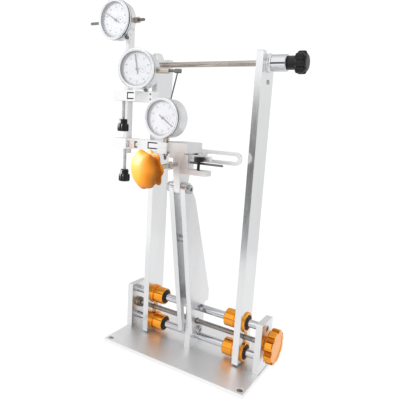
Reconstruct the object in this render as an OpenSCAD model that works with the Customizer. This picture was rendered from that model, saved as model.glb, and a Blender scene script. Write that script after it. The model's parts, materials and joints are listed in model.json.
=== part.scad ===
// Bicycle wheel truing stand: two sliding uprights on a base plate, a swinging
// feeler arm between them and three dial gauges that read the rim.
// Origin at the centre of the base plate's underside, X along the guide rods,
// the feeler arm on the -Y side, +Z up. Lengths in millimetres.

/* [Base] */
// Length of the base plate along the rods
base_l = 250; // [230:1:320]
// Depth of the base plate
base_d = 150; // [120:1:220]
// Thickness of the base plate
base_t = 6; // [5:0.5:12]
// Diameter of the bench holes
bench_hole_d = 5.5; // [4:0.1:7]
// Diameter of the bench holes' countersinks
bench_sink_d = 10; // [8:0.5:12]
// Distance of the bench holes from the plate's edges
bench_inset = 8; // [7:0.5:16]
// Diameter of the screws under the plate
plate_screw_d = 5; // [4:0.5:6]
// Length of the screws under the plate
plate_screw_l = 16; // [10:0.5:18]
// Half the distance between the screws of one bar
plate_screw_y = 12; // [10:0.5:14]

/* [Bars] */
// Thickness of the end plates, block and uprights
bar_t = 10; // [8:0.5:14]
// Depth of the end plates, block and uprights
bar_d = 40; // [36:1:60]
// Chamfer of the bars' top corners
bar_chamfer = 1.5; // [0.5:0.5:4]
// Height of the end plates above the base plate
end_h = 77; // [72:1:100]
// Distance of the end plates from the base plate's ends
end_inset = 1; // [0:0.5:6]
// Height of the centre block above the base plate
block_h = 84; // [74:1:100]

/* [Guide rods] */
// Diameter of the two guide rods
rod_d = 12; // [10:0.5:14]
// Height of the lower rod above the base plate
rod_low = 17; // [16.5:0.5:19]
// Distance between the two rods
rod_pitch = 48; // [46:0.5:52]
// Depth of the rods' seats in the end plates
rod_seat = 4.5; // [3:0.5:5]
// Diameter of the screws in the rods' ends
rod_screw_d = 5; // [3:0.5:5]
// Length of those screws below the head
rod_screw_l = 14; // [8:1:20]
// Diameter of the screw heads
rod_head_d = 8.5; // [7:0.5:10]
// Height of the screw heads
rod_head_h = 3.6; // [2:0.2:4]

/* [Lead screw] */
// Diameter of the lead screw
screw_d = 8; // [6:0.5:10]
// Distance between its thread turns
thread_pitch = 2; // [1:0.25:3]
// Depth of its thread
thread_depth = 0.7; // [0.3:0.1:1]
// Outside diameter of the bearing bushes
bearing_d = 13; // [12:0.5:15]
// Diameter of the bearing bushes' flanges
bearing_flange_d = 17; // [16:0.5:20]
// Thickness of the bearing bushes' flanges
bearing_flange_t = 1.6; // [1:0.2:3]
// Diameter of the stop collar
collar_d = 16; // [13:0.5:20]
// Width of the stop collar
collar_w = 5; // [3:0.5:6]
// Diameter of the hand knob
knob_d = 52; // [40:1:60]
// Thickness of the hand knob's rim
knob_t = 12; // [8:0.5:18]
// Diameter of the hand knob's hub
knob_hub_d = 22; // [18:0.5:30]
// Length of the hand knob's hub
knob_hub_l = 5.5; // [3:0.5:10]
// Number of finger notches in the hand knob
knob_notches = 8; // [6:1:10]
// Diameter of each finger notch
knob_notch_d = 10; // [6:0.5:12]

/* [Uprights] */
// Distance between the uprights' inner faces
upright_gap = 160; // [150:1:170]
// Gap between the uprights and the base plate
upright_lift = 2.5; // [1:0.5:5]
// Height of the uprights' front prongs
upright_top = 460; // [440:1:520]
// How much lower the rear prongs end
rear_drop = 5; // [0:0.5:7]
// Depth of the axle's seat below the front prongs' tops
seat_depth = 14.5; // [12:0.5:20]
// Depth of the flared mouth of each dropout
mouth_depth = 7.5; // [4:0.5:9]
// How far the mouth flares on each side
mouth_flare = 7; // [3:0.5:10]
// Outside diameter of the rod bush housings
housing_d = 27; // [26:0.5:29]
// Length of the housings inside the uprights
housing_l = 22; // [18:0.5:28]
// Diameter of the housings' flanges
flange_d = 31; // [29:0.5:34]
// Thickness of the housings' flanges
flange_t = 4; // [2:0.5:6]
// Width of the groove behind the flange
groove_w = 2; // [1:0.5:3]
// Depth of the groove behind the flange
groove_depth = 1; // [0.5:0.25:2]
// Diameter of the housings' spigots through the uprights
spigot_d = 20; // [18:0.5:21]
// Diameter of the outer retaining rings
ring_d = 31; // [28:0.5:33]
// Thickness of the outer retaining rings
ring_t = 3; // [2:0.5:6]
// Diameter of the rod wipers
wiper_d = 23; // [19:0.5:24]
// How far the wipers stand out of the housings
wiper_out = 1; // [0.5:0.25:2]
// Depth of the wipers' seats in the housings
wiper_in = 4; // [3:0.5:6]
// Outside diameter of the lead nuts
nut_d = 16; // [14:0.5:18]

/* [Axle clamp] */
// Diameter of the through axle
axle_d = 8; // [6:0.5:10]
// Diameter of the clamp's flange
clamp_flange_d = 25; // [22:0.5:30]
// Thickness of the clamp's flange
clamp_flange_t = 6; // [4:0.5:10]
// Diameter of the clamp's sleeve
sleeve_d = 22; // [18:0.5:24]
// Length of the clamp's sleeve
sleeve_l = 21; // [14:0.5:30]
// Diameter of the axle knob's neck
neck_d = 18; // [14:0.5:21]
// Length of the axle knob's neck
neck_l = 12; // [6:0.5:16]
// Diameter of the axle knob
axle_knob_d = 30; // [26:0.5:40]
// Thickness of the axle knob
axle_knob_t = 14; // [10:0.5:24]
// Number of lobes on the axle knob
axle_knob_lobes = 7; // [5:1:8]

/* [Feeler arm] */
// Thickness of each arm plate
arm_t = 8; // [6:0.5:10]
// Distance of the arm's pivot in front of the rods
pivot_fwd = 12; // [11.5:0.5:13]
// Height of the arm's pivot above the base plate
pivot_up = 34; // [32:0.5:36]
// Radius of the eye round the pivot
eye_r = 8; // [7:0.25:8.5]
// Distance of the leg's front edge before the pivot
leg_front = 15; // [13:0.5:18]
// Width of the leg in front of the rods
leg_w = 8.5; // [7:0.5:10]
// Distance of the blade's rear edge behind the pivot
blade_rear = 28.7; // [22:0.5:30]
// Height of the blade's knee above the pivot
blade_knee = 57; // [50:1:70]
// Height of the head bolt above the pivot
head_rise = 230; // [200:1:250]
// Distance of the head bolt in front of the pivot
head_fwd = 50.7; // [40:0.5:60]
// Radius of the arm's rounded top
top_r = 9.2; // [8:0.2:11]
// Distance of the rear shoulder behind the head bolt
shoulder_back = 21.7; // [16:0.5:26]
// Depth of the rear shoulder below the head bolt
shoulder_drop = 18; // [12:0.5:30]
// Diameter of the pivot and head bolts
bolt_d = 8; // [6:0.5:9]
// Diameter of the bolts' heads
bolt_head_d = 13; // [11:0.5:14]
// Height of the bolts' heads
bolt_head_h = 4.5; // [3:0.5:6]
// Diameter of the spacer between the plates
spacer_d = 10; // [8:0.5:14]
// Height of the spacer above the pivot
spacer_up = 150; // [120:1:160]

/* [Head] */
// Height of the head's box above the head bolt
box_up = 50; // [46:0.5:56]
// Width of the box
box_w = 31; // [28:0.5:36]
// How far the box sits to the right of the arm's middle
box_shift = 1.5; // [0:0.25:3]
// Depth of the box
box_d = 39; // [36:0.5:44]
// Height of the box
box_h = 14; // [10:0.5:18]
// Distance of the box's front before the head bolt
box_fwd = 14.3; // [12:0.5:16]
// Height of the block's wide top
cap_h = 8; // [6:0.5:9]
// Turn of the clamp knob's stud to the left of straight ahead
stud_turn = 20; // [12:1:24]
// Tilt of the clamp knob's stud below level
stud_tilt = 7; // [2:1:10]
// Diameter of the stud
stud_d = 6.5; // [5:0.5:7]
// Height of the stud's entry above the head bolt
stud_up = 33.5; // [32:0.5:35]
// Bare length of the stud up to the knob's rim
stud_l = 35; // [32:1:44]
// Diameter of the stud's collar
stud_collar_d = 11; // [10:0.5:14]
// Diameter of the star knob at its rim
star_d = 55; // [46:1:58]
// Diameter of the star knob's crown
star_crown_d = 40; // [32:1:42]
// Depth of the star knob
star_h = 28; // [20:0.5:32]
// Wall of the star knob
star_wall = 4; // [3:0.5:6]
// Number of lobes on the star knob
star_lobes = 7; // [5:1:8]
// Diameter of the hollows between the lobes
star_hollow_d = 16; // [10:0.5:18]

/* [Dial carrier] */
// Distance of the carrier bars behind the head bolt
bar_back = 12.7; // [11:0.5:14]
// Depth of the carrier bars
carrier_d = 14; // [13:0.5:15]
// Height of the carrier bars
carrier_h = 15; // [13:0.5:18]
// How far the lower bar lies below the box's underside
carrier_drop = 3; // [2:0.5:4]
// Length of the lower bar from the box to its clamp end
carrier_l = 81; // [76:1:90]
// Width of the bars' clamp ends
clamp_w = 27; // [26:0.5:32]
// Distance of the clamp ends' fronts before the bars' middle
clamp_fwd = 21; // [20:0.5:24]
// Distance of the clamp ends' backs behind the bars' middle
clamp_back = 10; // [9:0.5:11]
// Width of the post
post_w = 8; // [7:0.5:9]
// Depth of the post
post_d = 12; // [10:0.5:14]
// Distance of the post from the clamp ends' right sides
post_in = 15; // [14:0.5:16]
// Length of the post above the lower bar's underside
post_l = 190; // [180:1:210]
// Length of the post below the lower bar
post_foot = 8; // [5:0.5:14]
// Height of the upper bar above the lower one
upper_up = 69; // [66:0.5:80]
// Length of the upper bar beyond its clamp end
upper_l = 20; // [18:0.5:30]
// Width of the upper bar's clamp end
upper_clamp_w = 42; // [36:0.5:48]
// Width of the clamps' slits
slit_w = 1.8; // [0.6:0.1:2]
// Depth of the clamps' slits
slit_depth = 2; // [1:0.25:2.5]
// Diameter of the thumbscrews' stems
thumb_d = 5; // [4:0.25:5]
// Diameter of the thumbscrews' grips
grip_d = 17; // [12:0.5:18]
// Height of the thumbscrews' grips
grip_h = 18; // [10:0.5:20]
// Bare length of the upper thumbscrew's stem
thumb_l = 26; // [20:0.5:30]
// Bare length of the lower thumbscrew's stem
thumb_low_l = 31; // [24:0.5:36]
// Depth of the stems in the clamp ends
thumb_in = 10; // [6:0.5:12]

/* [Feelers] */
// Width of the feeler clamp's block
feeler_w = 13; // [10:0.5:16]
// Depth of the feeler clamp
feeler_d = 16; // [14:0.5:18]
// Distance of the feeler clamp's middle before the head bolt
feeler_fwd = 5.3; // [4:0.5:6]
// Reach of the feeler clamp's jaws beyond its block
jaw_l = 28; // [24:0.5:34]
// Thickness of the jaws
jaw_t = 7; // [5:0.5:8]
// Opening between the jaws
jaw_gap = 12; // [11:0.5:14]
// Distance of the jaw screw from the feeler clamp's block
jaw_screw_out = 15; // [12:0.5:17]
// Height of the feeler rod above the lower jaw
rod_feeler_up = 9; // [8:0.5:10]
// Diameter of the feeler rod
rod_feeler_d = 3; // [2:0.25:4]
// Length of the feeler rod
rod_feeler_l = 57; // [50:1:75]
// Diameter of the jaw screw's grip
jaw_grip_d = 13; // [10:0.5:13.5]
// Height of the jaw screw's grip
jaw_grip_h = 6.5; // [4:0.5:8]
// Diameter of the jaw screw's stem
jaw_stem_d = 4; // [3:0.25:5]
// Thickness of the slotted feeler link
link_t = 5; // [3:0.5:7]
// Height of the slotted feeler link
link_h = 18; // [14:0.5:22]
// Distance between the link's end centres
link_l = 57; // [45:1:70]
// Height of the link's slot
link_slot_h = 8; // [5:0.5:10]
// Diameter of the link's pin
link_pin_d = 6; // [4:0.5:7]

/* [Dials] */
// Diameter of the dials' bezels
bezel_d = 55; // [50:0.5:58]
// Diameter of the dials' cases
case_d = 52; // [48:0.5:52]
// Diameter of the top dial's tapered back
top_back_d = 30; // [24:0.5:40]
// Depth of the dials' cases
case_t = 18.8; // [14:0.2:19]
// Depth of the bezels
bezel_t = 8; // [7:0.2:10]
// Width of the bezels' front rims
bezel_rim = 4.3; // [3:0.1:5]
// Thickness of the glasses
glass_t = 1.5; // [1:0.1:2]
// Thickness of the dial faces
face_t = 0.8; // [0.5:0.1:1]
// Length of the needles
needle_l = 20; // [16:0.5:21]
// Diameter of the stems
stem_d = 8; // [6:0.5:9]
// Diameter of the plungers
plunger_d = 4; // [3:0.25:5]
// Turn of the middle dial towards the right
dial_turn = 15; // [0:1:20]
// Height of the top dial above the post's foot
dial_top_up = 186; // [184:0.5:196]
// Height of the middle dial above its bar's top
dial_mid_up = 28; // [27.5:0.5:36]
// Height of the low dial above the lower bar's top
dial_low_up = 32.5; // [30:0.5:36]
// Distance of the low dial left of the box
dial_low_left = 6.5; // [6:0.25:8]
// Diameter of the middle dial's swivel pin
swivel_d = 6; // [5:0.5:8]

/* [Hidden] */
$fn = 64;

// Clearances
eps = 0.01;
run_fit = 0.05;
slide_gap = 0.2;
part_gap = 0.3;
side_gap = 0.5;
cut = 1;

// Colours
aluminium = [0.86, 0.87, 0.88];
steel = [0.66, 0.67, 0.69];
dark_steel = [0.27, 0.27, 0.29];
bronze = [0.65, 0.48, 0.26];
orange = [0.95, 0.55, 0.08];
black = [0.08, 0.08, 0.09];
white = [0.96, 0.96, 0.95];
clear = [0.85, 0.9, 0.95, 0.35];

// Places of the bars and shafts
end_x = base_l / 2 - end_inset;
end_in_x = end_x - bar_t;
low_z = base_t + rod_low;
high_z = low_z + rod_pitch;
screw_z = (low_z + high_z) / 2;
rod_end_x = end_in_x + rod_seat;
rod_bore_d = rod_d + 2 * run_fit;
rod_head_sink = rod_head_h + side_gap;
plate_head_d = 2 * plate_screw_d;
plate_head_h = plate_screw_d / 2;
bearing_play = part_gap;
screw_left_x = -end_x;
hub_x = end_x + bearing_play;
rim_x = hub_x + knob_hub_l;
rim_end_x = rim_x + knob_t;
bar_screw_clear = 1;

// Places of the uprights and the axle
up_in_x = upright_gap / 2;
up_out_x = up_in_x + bar_t;
up_z = base_t + upright_lift;
axle_z = upright_top - seat_depth;
seat_r = axle_d / 2 + part_gap;
sleeve_x = up_out_x + clamp_flange_t;
neck_x = sleeve_x + sleeve_l + part_gap;
axle_knob_x = neck_x + neck_l;
axle_knob_end = axle_knob_x + axle_knob_t;
axle_left_x = -up_out_x - cut;
axle_right_x = axle_knob_x + axle_knob_t / 2;

// Places of the arm
arm_in_x = bar_t / 2 + side_gap;
arm_out_x = arm_in_x + arm_t;
pivot = [-pivot_fwd, base_t + pivot_up];
head = [pivot[0] - head_fwd, pivot[1] + head_rise];
rod_reach = norm([pivot_fwd, high_z - pivot[1]]) + rod_d / 2;
blade_z = pivot[1] + rod_reach + bar_screw_clear;
foot_chamfer = 4;
leg_foot = [pivot[0] - leg_front, pivot[1] - eye_r + foot_chamfer];
arm_front_top = [head[0] - top_r, head[1]];
arm_lean = (leg_foot[0] - arm_front_top[0]) / (arm_front_top[1] - leg_foot[1]);
function arm_front(z) = leg_foot[0] - arm_lean * (z - leg_foot[1]);
bolt_bore_d = bolt_d + 2 * run_fit;
hex_h = 6;
tongue_x = arm_in_x - part_gap;
spacer_z = pivot[1] + spacer_up;
spacer_y = arm_front(spacer_z) + 2 * spacer_d;

// Places of the head
box_z = head[1] + box_up;
box_y = head[0] - box_fwd;
box_left_x = box_shift - box_w / 2;
box_right_x = box_shift + box_w / 2;
box_back_y = box_y + box_d;
lug_d = 8;
lug_x = tongue_x + part_gap;
cap_x = 12;
cap_slope = 6;
cap_back = 8;
neck_back = 20;
block_front_y = box_y + part_gap;
stud_side = 0.75;
stud_point = [-stud_side, block_front_y, head[1] + stud_up];
stud_seat = 4.5;

// Places of the dial carrier
bar_y = head[0] + bar_back;
bar_front_y = bar_y - carrier_d / 2;
low_bar_z = box_z - carrier_drop;
clamp_right_x = box_left_x - carrier_l;
clamp_left_x = clamp_right_x - clamp_w;
clamp_front_y = bar_y - clamp_fwd;
post_x = clamp_right_x - post_in;
post_foot_z = low_bar_z - post_foot;
post_top_z = low_bar_z + post_l;
post_front_y = bar_y - post_d / 2;
high_bar_z = low_bar_z + upper_up;
high_clamp_x = clamp_left_x + upper_clamp_w;
high_bar_x = high_clamp_x + upper_l;
thumb_post_x = clamp_right_x - thumb_d;
thumb_bar_x = post_x + thumb_d;
thumb_y = clamp_front_y + thumb_d;
ear_half = 9;
ear_front = 7;
slit_margin = 2.5;
slit_l = 26;
slit_in = 9.5;
high_slit_l = 15;

// Places of the feelers
jaw_y = head[0] - feeler_fwd;
jaw_x = tongue_x + feeler_w;
jaw_under = 2;
jaw_low_z = box_z - 2 * jaw_t - jaw_gap - jaw_under;
jaw_high_z = jaw_low_z + jaw_t + jaw_gap;
jaw_rear_d = 5;
jaw_screw_in = 3.5;
jaw_screw = [jaw_x + jaw_screw_out, jaw_y - feeler_d / 2 + jaw_screw_in];
rod_clear = 1;
rod_inset = 4;
rod_feeler_y = jaw_screw[1] + jaw_stem_d / 2 + rod_feeler_d / 2 + rod_clear;
rod_feeler_z = jaw_low_z + jaw_t + rod_feeler_up;
rod_feeler_x = tongue_x + rod_inset;
jaw_grip_z = rod_feeler_z + rod_feeler_d / 2 + rod_clear;
link_y = box_back_y + part_gap;
link_in = 5;
link_drop = 4;
link_at = [box_right_x - link_in, box_z - link_drop];
link_slot_from = 16;
pin_head_d = 11;
pin_head_t = 3;

// Sizes inside the dials, measured along the dial's axis from the plunger's line
case_back = 12;
case_shoulder = plunger_d / 2 + cut;
spigot_l = 1.4;
case_front = case_t - case_back;
spigot_front = case_front + spigot_l;
bezel_back = case_front + part_gap;
bezel_front = bezel_back + bezel_t;
ledge_front = spigot_front + slide_gap;
bezel_wall = 2.3;
ledge_w = 3;
rim_t = 1.5;
dial_r = bezel_d / 2 - bezel_wall;
ledge_r = dial_r - ledge_w;
glass_front = bezel_front - rim_t;
face_front = ledge_front + face_t;
needle_t = 0.6;
needle_back = face_front + needle_t;
needle_w = 1.4;
needle_hub_d = 4;
needle_tail = 7;
arbor_d = 2;
arbor_clear = 1.2;
arbor_back = plunger_d / 2 + arbor_clear;
bore_in = 21;
plunger_in = 12;
boss_d = 16;
boss_l = 4;
swivel_back = 7;

// Places of the dials and the reach of their stems
dial_top_at = [post_x, post_front_y - boss_l - case_back, post_foot_z + dial_top_up];
swivel_fwd = 2;
swivel_in = 18;
swivel_over = 12;
swivel_y = bar_y - swivel_fwd;
swivel_x = high_bar_x - swivel_in;
swivel_off = case_back + swivel_back;
dial_mid_at = [
  swivel_x + swivel_off * sin(dial_turn),
  swivel_y - swivel_off * cos(dial_turn),
  high_bar_z + carrier_h + dial_mid_up
];
dial_low_in = 3;
dial_low_y = box_y + dial_low_in;
dial_low_at = [box_left_x - dial_low_left, dial_low_y, low_bar_z + carrier_h + dial_low_up];
stem_top_l = 8;
stem_mid_l = 18;
stem_foot = 3;
stem_low_l = dial_low_at[2] - case_d / 2 - low_bar_z + stem_foot;
pin_top_l = 30;
tip_l = 8;
stylus_d = 2;
stylus_drop = 40;
stylus_slant = 10;
stylus_back = 3;
needle_top_a = 150;
needle_mid_a = 100;
needle_low_a = 57;

// A round bar along X between two stations, on the line y, z
module x_bar(d, x0, x1, y = 0, z = 0) {
  translate([x0, y, z]) rotate([0, 90, 0]) cylinder(d = d, h = x1 - x0);
}

// A profile drawn in y, z and carried along X between two stations
module x_profile(x0, x1) {
  translate([x0, 0, 0]) rotate([90, 0, 90]) linear_extrude(x1 - x0) children();
}

// A box given by its two corners
module block(low, high) {
  translate(low) cube(high - low);
}

// A solid of revolution about X, drawn as radius and station
module x_turned(points) {
  rotate([0, 90, 0]) rotate_extrude() polygon(points);
}

// Base plate with bench holes sunk from above and screw holes from below
module base_plate() {
  color(aluminium) difference() {
    block([-base_l / 2, -base_d / 2, 0], [base_l / 2, base_d / 2, base_t]);
    for (x = [-1, 1], y = [-1, 1])
      translate([x * (base_l / 2 - bench_inset), y * (base_d / 2 - bench_inset), 0]) {
        translate([0, 0, -cut]) cylinder(d = bench_hole_d, h = base_t + 2 * cut);
        translate([0, 0, base_t - (bench_sink_d - bench_hole_d) / 2])
          cylinder(d1 = bench_hole_d, d2 = bench_sink_d, h = (bench_sink_d - bench_hole_d) / 2 + eps);
      }
    at_plate_screws() {
      translate([0, 0, -cut]) cylinder(d = plate_screw_d + 2 * slide_gap, h = base_t + 2 * cut);
      translate([0, 0, -eps])
        cylinder(
          d1 = plate_head_d + 4 * part_gap, d2 = plate_screw_d + 2 * part_gap, h = plate_head_h + part_gap
        );
    }
  }
}

// Places two children under each bar on the base plate
module at_plate_screws() {
  bar_mid = end_x - bar_t / 2;
  for (x = [-bar_mid, 0, bar_mid], y = [-plate_screw_y, plate_screw_y])
    translate([x, y, 0]) children();
}

// Countersunk screws that hold the bars down
module plate_screws() {
  color(steel) at_plate_screws() {
    translate([0, 0, part_gap]) cylinder(d1 = plate_head_d, d2 = plate_screw_d, h = plate_head_h);
    translate([0, 0, plate_head_h]) cylinder(d = plate_screw_d, h = plate_screw_l - plate_head_h);
  }
}

// Tapped holes for those screws in a bar whose middle is at x
module plate_screw_holes(x) {
  for (y = [-plate_screw_y, plate_screw_y])
    translate([x, y, base_t - cut])
      cylinder(d = plate_screw_d + 2 * run_fit, h = plate_screw_l - base_t + 2 * cut);
}

// Front view of a standing bar with chamfered top corners
module bar_profile(z0, z1) {
  polygon([
    [-bar_d / 2, z0], [bar_d / 2, z0], [bar_d / 2, z1 - bar_chamfer], [bar_d / 2 - bar_chamfer, z1],
    [-bar_d / 2 + bar_chamfer, z1], [-bar_d / 2, z1 - bar_chamfer]
  ]);
}

// End plate on the right, with rod seats inside and screw sinks outside
module end_plate() {
  difference() {
    x_profile(end_in_x, end_x) bar_profile(base_t, base_t + end_h);
    for (z = [low_z, high_z]) {
      x_bar(rod_bore_d, end_in_x - cut, rod_end_x, 0, z);
      x_bar(rod_screw_d + 2 * slide_gap, end_in_x, end_x + cut, 0, z);
      x_bar(rod_head_d + 2 * part_gap, end_x - rod_head_sink, end_x + cut, 0, z);
    }
    x_bar(bearing_d + 2 * run_fit, end_in_x - cut, end_x + cut, 0, screw_z);
    plate_screw_holes(end_x - bar_t / 2);
  }
}

module end_plate_right() {
  color(aluminium) end_plate();
}

module end_plate_left() {
  color(aluminium) mirror([1, 0, 0]) end_plate();
}

// The two polished guide rods, drilled at both ends
module guide_rods() {
  color(steel) for (z = [low_z, high_z])
    difference() {
      x_bar(rod_d, -rod_end_x, rod_end_x, 0, z);
      for (side = [0, 1])
        mirror([side, 0, 0])
          x_bar(rod_screw_d + 2 * run_fit, rod_end_x - rod_screw_l, rod_end_x + cut, 0, z);
    }
}

// Socket screws through the end plates into the rods
module rod_screws() {
  head_x = end_x - rod_head_sink;
  socket_d = rod_screw_d * 0.9;
  color(dark_steel) for (side = [0, 1], z = [low_z, high_z])
    mirror([side, 0, 0]) difference() {
      union() {
        x_bar(rod_screw_d, head_x - rod_screw_l + cut, head_x + eps, 0, z);
        x_bar(rod_head_d, head_x, head_x + rod_head_h, 0, z);
      }
      translate([head_x + rod_head_h / 2, 0, z]) rotate([0, 90, 0])
        cylinder(d = socket_d, h = rod_head_h, $fn = 6);
    }
}

// Block at the middle of the base that carries the arm's pivot
module centre_block() {
  color(aluminium) difference() {
    x_profile(-bar_t / 2, bar_t / 2) bar_profile(base_t, base_t + block_h);
    for (z = [low_z, high_z])
      x_bar(rod_bore_d, -bar_t, bar_t, 0, z);
    x_bar(screw_d + 2 * cut, -bar_t, bar_t, 0, screw_z);
    x_bar(bolt_bore_d, -bar_t, bar_t, pivot[0], pivot[1]);
    plate_screw_holes(0);
  }
}

// Flanged bronze bearings of the lead screw
module screw_bearings() {
  color(bronze) for (side = [0, 1])
    mirror([side, 0, 0]) difference() {
      union() {
        x_bar(bearing_d, end_in_x - eps, end_x, 0, screw_z);
        x_bar(bearing_flange_d, end_in_x - bearing_flange_t, end_in_x, 0, screw_z);
      }
      x_bar(screw_d + 2 * run_fit, end_in_x - bearing_flange_t - cut, end_x + cut, 0, screw_z);
    }
}

// Lead screw with two runs of thread between plain ends
module lead_screw() {
  crest = screw_d / 2;
  root = crest - thread_depth;
  from_x = bar_t;
  turns = floor((end_in_x - bearing_flange_t - collar_w - 2 * cut - from_x) / thread_pitch);
  run = [
    for (i = [0 : turns - 1], k = [0 : 3])
      let (x = from_x + (i + k / 4) * thread_pitch)
        [k < 2 ? crest : root, x]
  ];
  back_run = [for (i = [len(run) - 1 : -1 : 0]) [run[i][0], -run[i][1] - eps]];
  points = concat(
    [[0, screw_left_x], [crest, screw_left_x]],
    back_run, run,
    [[crest, from_x + turns * thread_pitch], [crest, rim_end_x - knob_t / 2], [0, rim_end_x - knob_t / 2]]
  );
  color(dark_steel) translate([0, 0, screw_z]) x_turned(points);
}

// Notched hand knob on the lead screw's right end
module lead_screw_knob() {
  edge = 1.5;
  face_sink = 1;
  color(orange) translate([0, 0, screw_z]) difference() {
    x_turned([
      [0, hub_x], [knob_hub_d / 2, hub_x], [knob_hub_d / 2, rim_x], [knob_d / 2 - edge, rim_x],
      [knob_d / 2, rim_x + edge], [knob_d / 2, rim_end_x - edge], [knob_d / 2 - edge, rim_end_x],
      [knob_d / 2 - 4 * edge, rim_end_x], [knob_d / 2 - 5 * edge, rim_end_x - face_sink],
      [0, rim_end_x - face_sink]
    ]);
    for (i = [0 : knob_notches - 1])
      rotate([i * 360 / knob_notches, 0, 0])
        x_bar(knob_notch_d, rim_x - cut, rim_end_x + cut, 0, knob_d / 2 + knob_notch_d / 8);
    x_bar(screw_d + 2 * run_fit, hub_x - cut, rim_end_x - knob_t / 2);
  }
}

// Stop collar that holds the lead screw endways at its left bearing
module screw_collar() {
  from_x = -end_in_x + bearing_flange_t + bearing_play;
  color(dark_steel) difference() {
    x_bar(collar_d, from_x, from_x + collar_w, 0, screw_z);
    x_bar(screw_d + 2 * run_fit, from_x - cut, from_x + collar_w + cut, 0, screw_z);
  }
}

// Right upright with its flared dropout and the holes for bushes and nut
module upright() {
  rear_top = upright_top - rear_drop;
  mouth_z = upright_top - mouth_depth;
  rear_mouth_z = mouth_z - rear_drop / 2;
  difference() {
    x_profile(up_in_x, up_out_x) difference() {
      polygon([
        [-bar_d / 2, up_z], [bar_d / 2, up_z], [bar_d / 2, rear_top - bar_chamfer],
        [bar_d / 2 - bar_chamfer, rear_top], [seat_r + mouth_flare, rear_top], [seat_r, rear_mouth_z],
        [seat_r, axle_z], [-seat_r, axle_z], [-seat_r, mouth_z], [-seat_r - mouth_flare, upright_top],
        [-bar_d / 2 + bar_chamfer, upright_top], [-bar_d / 2, upright_top - bar_chamfer]
      ]);
      translate([0, axle_z]) circle(r = seat_r);
    }
    for (z = [low_z, high_z])
      x_bar(spigot_d + 2 * run_fit, up_in_x - cut, up_out_x + cut, 0, z);
    x_bar(nut_d + 2 * run_fit, up_in_x - cut, up_out_x + cut, 0, screw_z);
  }
}

module upright_right() {
  color(aluminium) upright();
}

module upright_left() {
  color(aluminium) mirror([1, 0, 0]) upright();
}

// Rod bush housings and their outer rings on the right upright
module bush_housings() {
  bore_r = rod_d / 2 + side_gap;
  body_r = housing_d / 2;
  tip_x = up_in_x - housing_l;
  pocket_x = tip_x + wiper_in;
  pocket_r = wiper_d / 2 + run_fit;
  for (z = [low_z, high_z]) translate([0, 0, z]) {
    x_turned([
      [pocket_r, tip_x], [body_r - side_gap, tip_x], [body_r, tip_x + side_gap],
      [body_r, up_in_x - flange_t - groove_w], [body_r - groove_depth, up_in_x - flange_t - groove_w],
      [body_r - groove_depth, up_in_x - flange_t], [flange_d / 2 - side_gap, up_in_x - flange_t],
      [flange_d / 2, up_in_x - flange_t + side_gap], [flange_d / 2, up_in_x],
      [spigot_d / 2, up_in_x], [spigot_d / 2, up_out_x], [bore_r, up_out_x],
      [bore_r, pocket_x], [pocket_r, pocket_x]
    ]);
    x_turned([
      [pocket_r, up_out_x], [ring_d / 2, up_out_x], [ring_d / 2, up_out_x + ring_t - cut],
      [ring_d / 2 - cut, up_out_x + ring_t], [pocket_r, up_out_x + ring_t]
    ]);
  }
}

module bush_housings_right() {
  color(orange) bush_housings();
}

module bush_housings_left() {
  color(orange) mirror([1, 0, 0]) bush_housings();
}

// Rod wipers at both ends of the right upright's bushes
module rod_wipers() {
  bore_r = rod_d / 2 + run_fit;
  wiper_r = wiper_d / 2;
  tip_x = up_in_x - housing_l;
  face_x = tip_x - wiper_out;
  ring_x = up_out_x + ring_t + side_gap;
  for (z = [low_z, high_z]) translate([0, 0, z]) {
    x_turned([
      [bore_r, face_x], [wiper_r - side_gap, face_x], [wiper_r, face_x + side_gap],
      [wiper_r, tip_x + wiper_in],
      [bore_r, tip_x + wiper_in]
    ]);
    x_turned([[bore_r, up_out_x], [wiper_r, up_out_x], [wiper_r, ring_x], [bore_r, ring_x]]);
  }
}

module rod_wipers_right() {
  color(black) rod_wipers();
}

module rod_wipers_left() {
  color(black) mirror([1, 0, 0]) rod_wipers();
}

// Lead nut pressed flush into the right upright
module lead_nut() {
  difference() {
    x_bar(nut_d, up_in_x, up_out_x, 0, screw_z);
    x_bar(screw_d + 4 * run_fit, up_in_x - cut, up_out_x + cut, 0, screw_z);
  }
}

module lead_nut_right() {
  color(bronze) lead_nut();
}

module lead_nut_left() {
  color(bronze) mirror([1, 0, 0]) lead_nut();
}

// Flange of the axle clamp on the right upright's outer face
module clamp_flange() {
  waist = 1.5;
  color(aluminium) translate([0, 0, axle_z]) x_turned([
    [seat_r, up_out_x], [clamp_flange_d / 2, up_out_x], [clamp_flange_d / 2, sleeve_x - 2 * waist],
    [clamp_flange_d / 2 - waist, sleeve_x - waist], [clamp_flange_d / 2 - waist, sleeve_x], [seat_r, sleeve_x]
  ]);
}

// Polished sleeve of the axle clamp
module clamp_sleeve() {
  edge = 0.8;
  color(steel) translate([0, 0, axle_z]) x_turned([
    [axle_d / 2 + run_fit, sleeve_x], [sleeve_d / 2 - edge, sleeve_x], [sleeve_d / 2, sleeve_x + edge],
    [sleeve_d / 2, sleeve_x + sleeve_l - edge], [sleeve_d / 2 - edge, sleeve_x + sleeve_l],
    [axle_d / 2 + run_fit, sleeve_x + sleeve_l]
  ]);
}

// Through axle with a tapered left end
module thru_axle() {
  taper = 1.5;
  color(steel) translate([0, 0, axle_z]) x_turned([
    [0, axle_left_x - taper], [axle_d / 2 - taper, axle_left_x - taper], [axle_d / 2, axle_left_x],
    [axle_d / 2, axle_right_x], [0, axle_right_x]
  ]);
}

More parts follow.
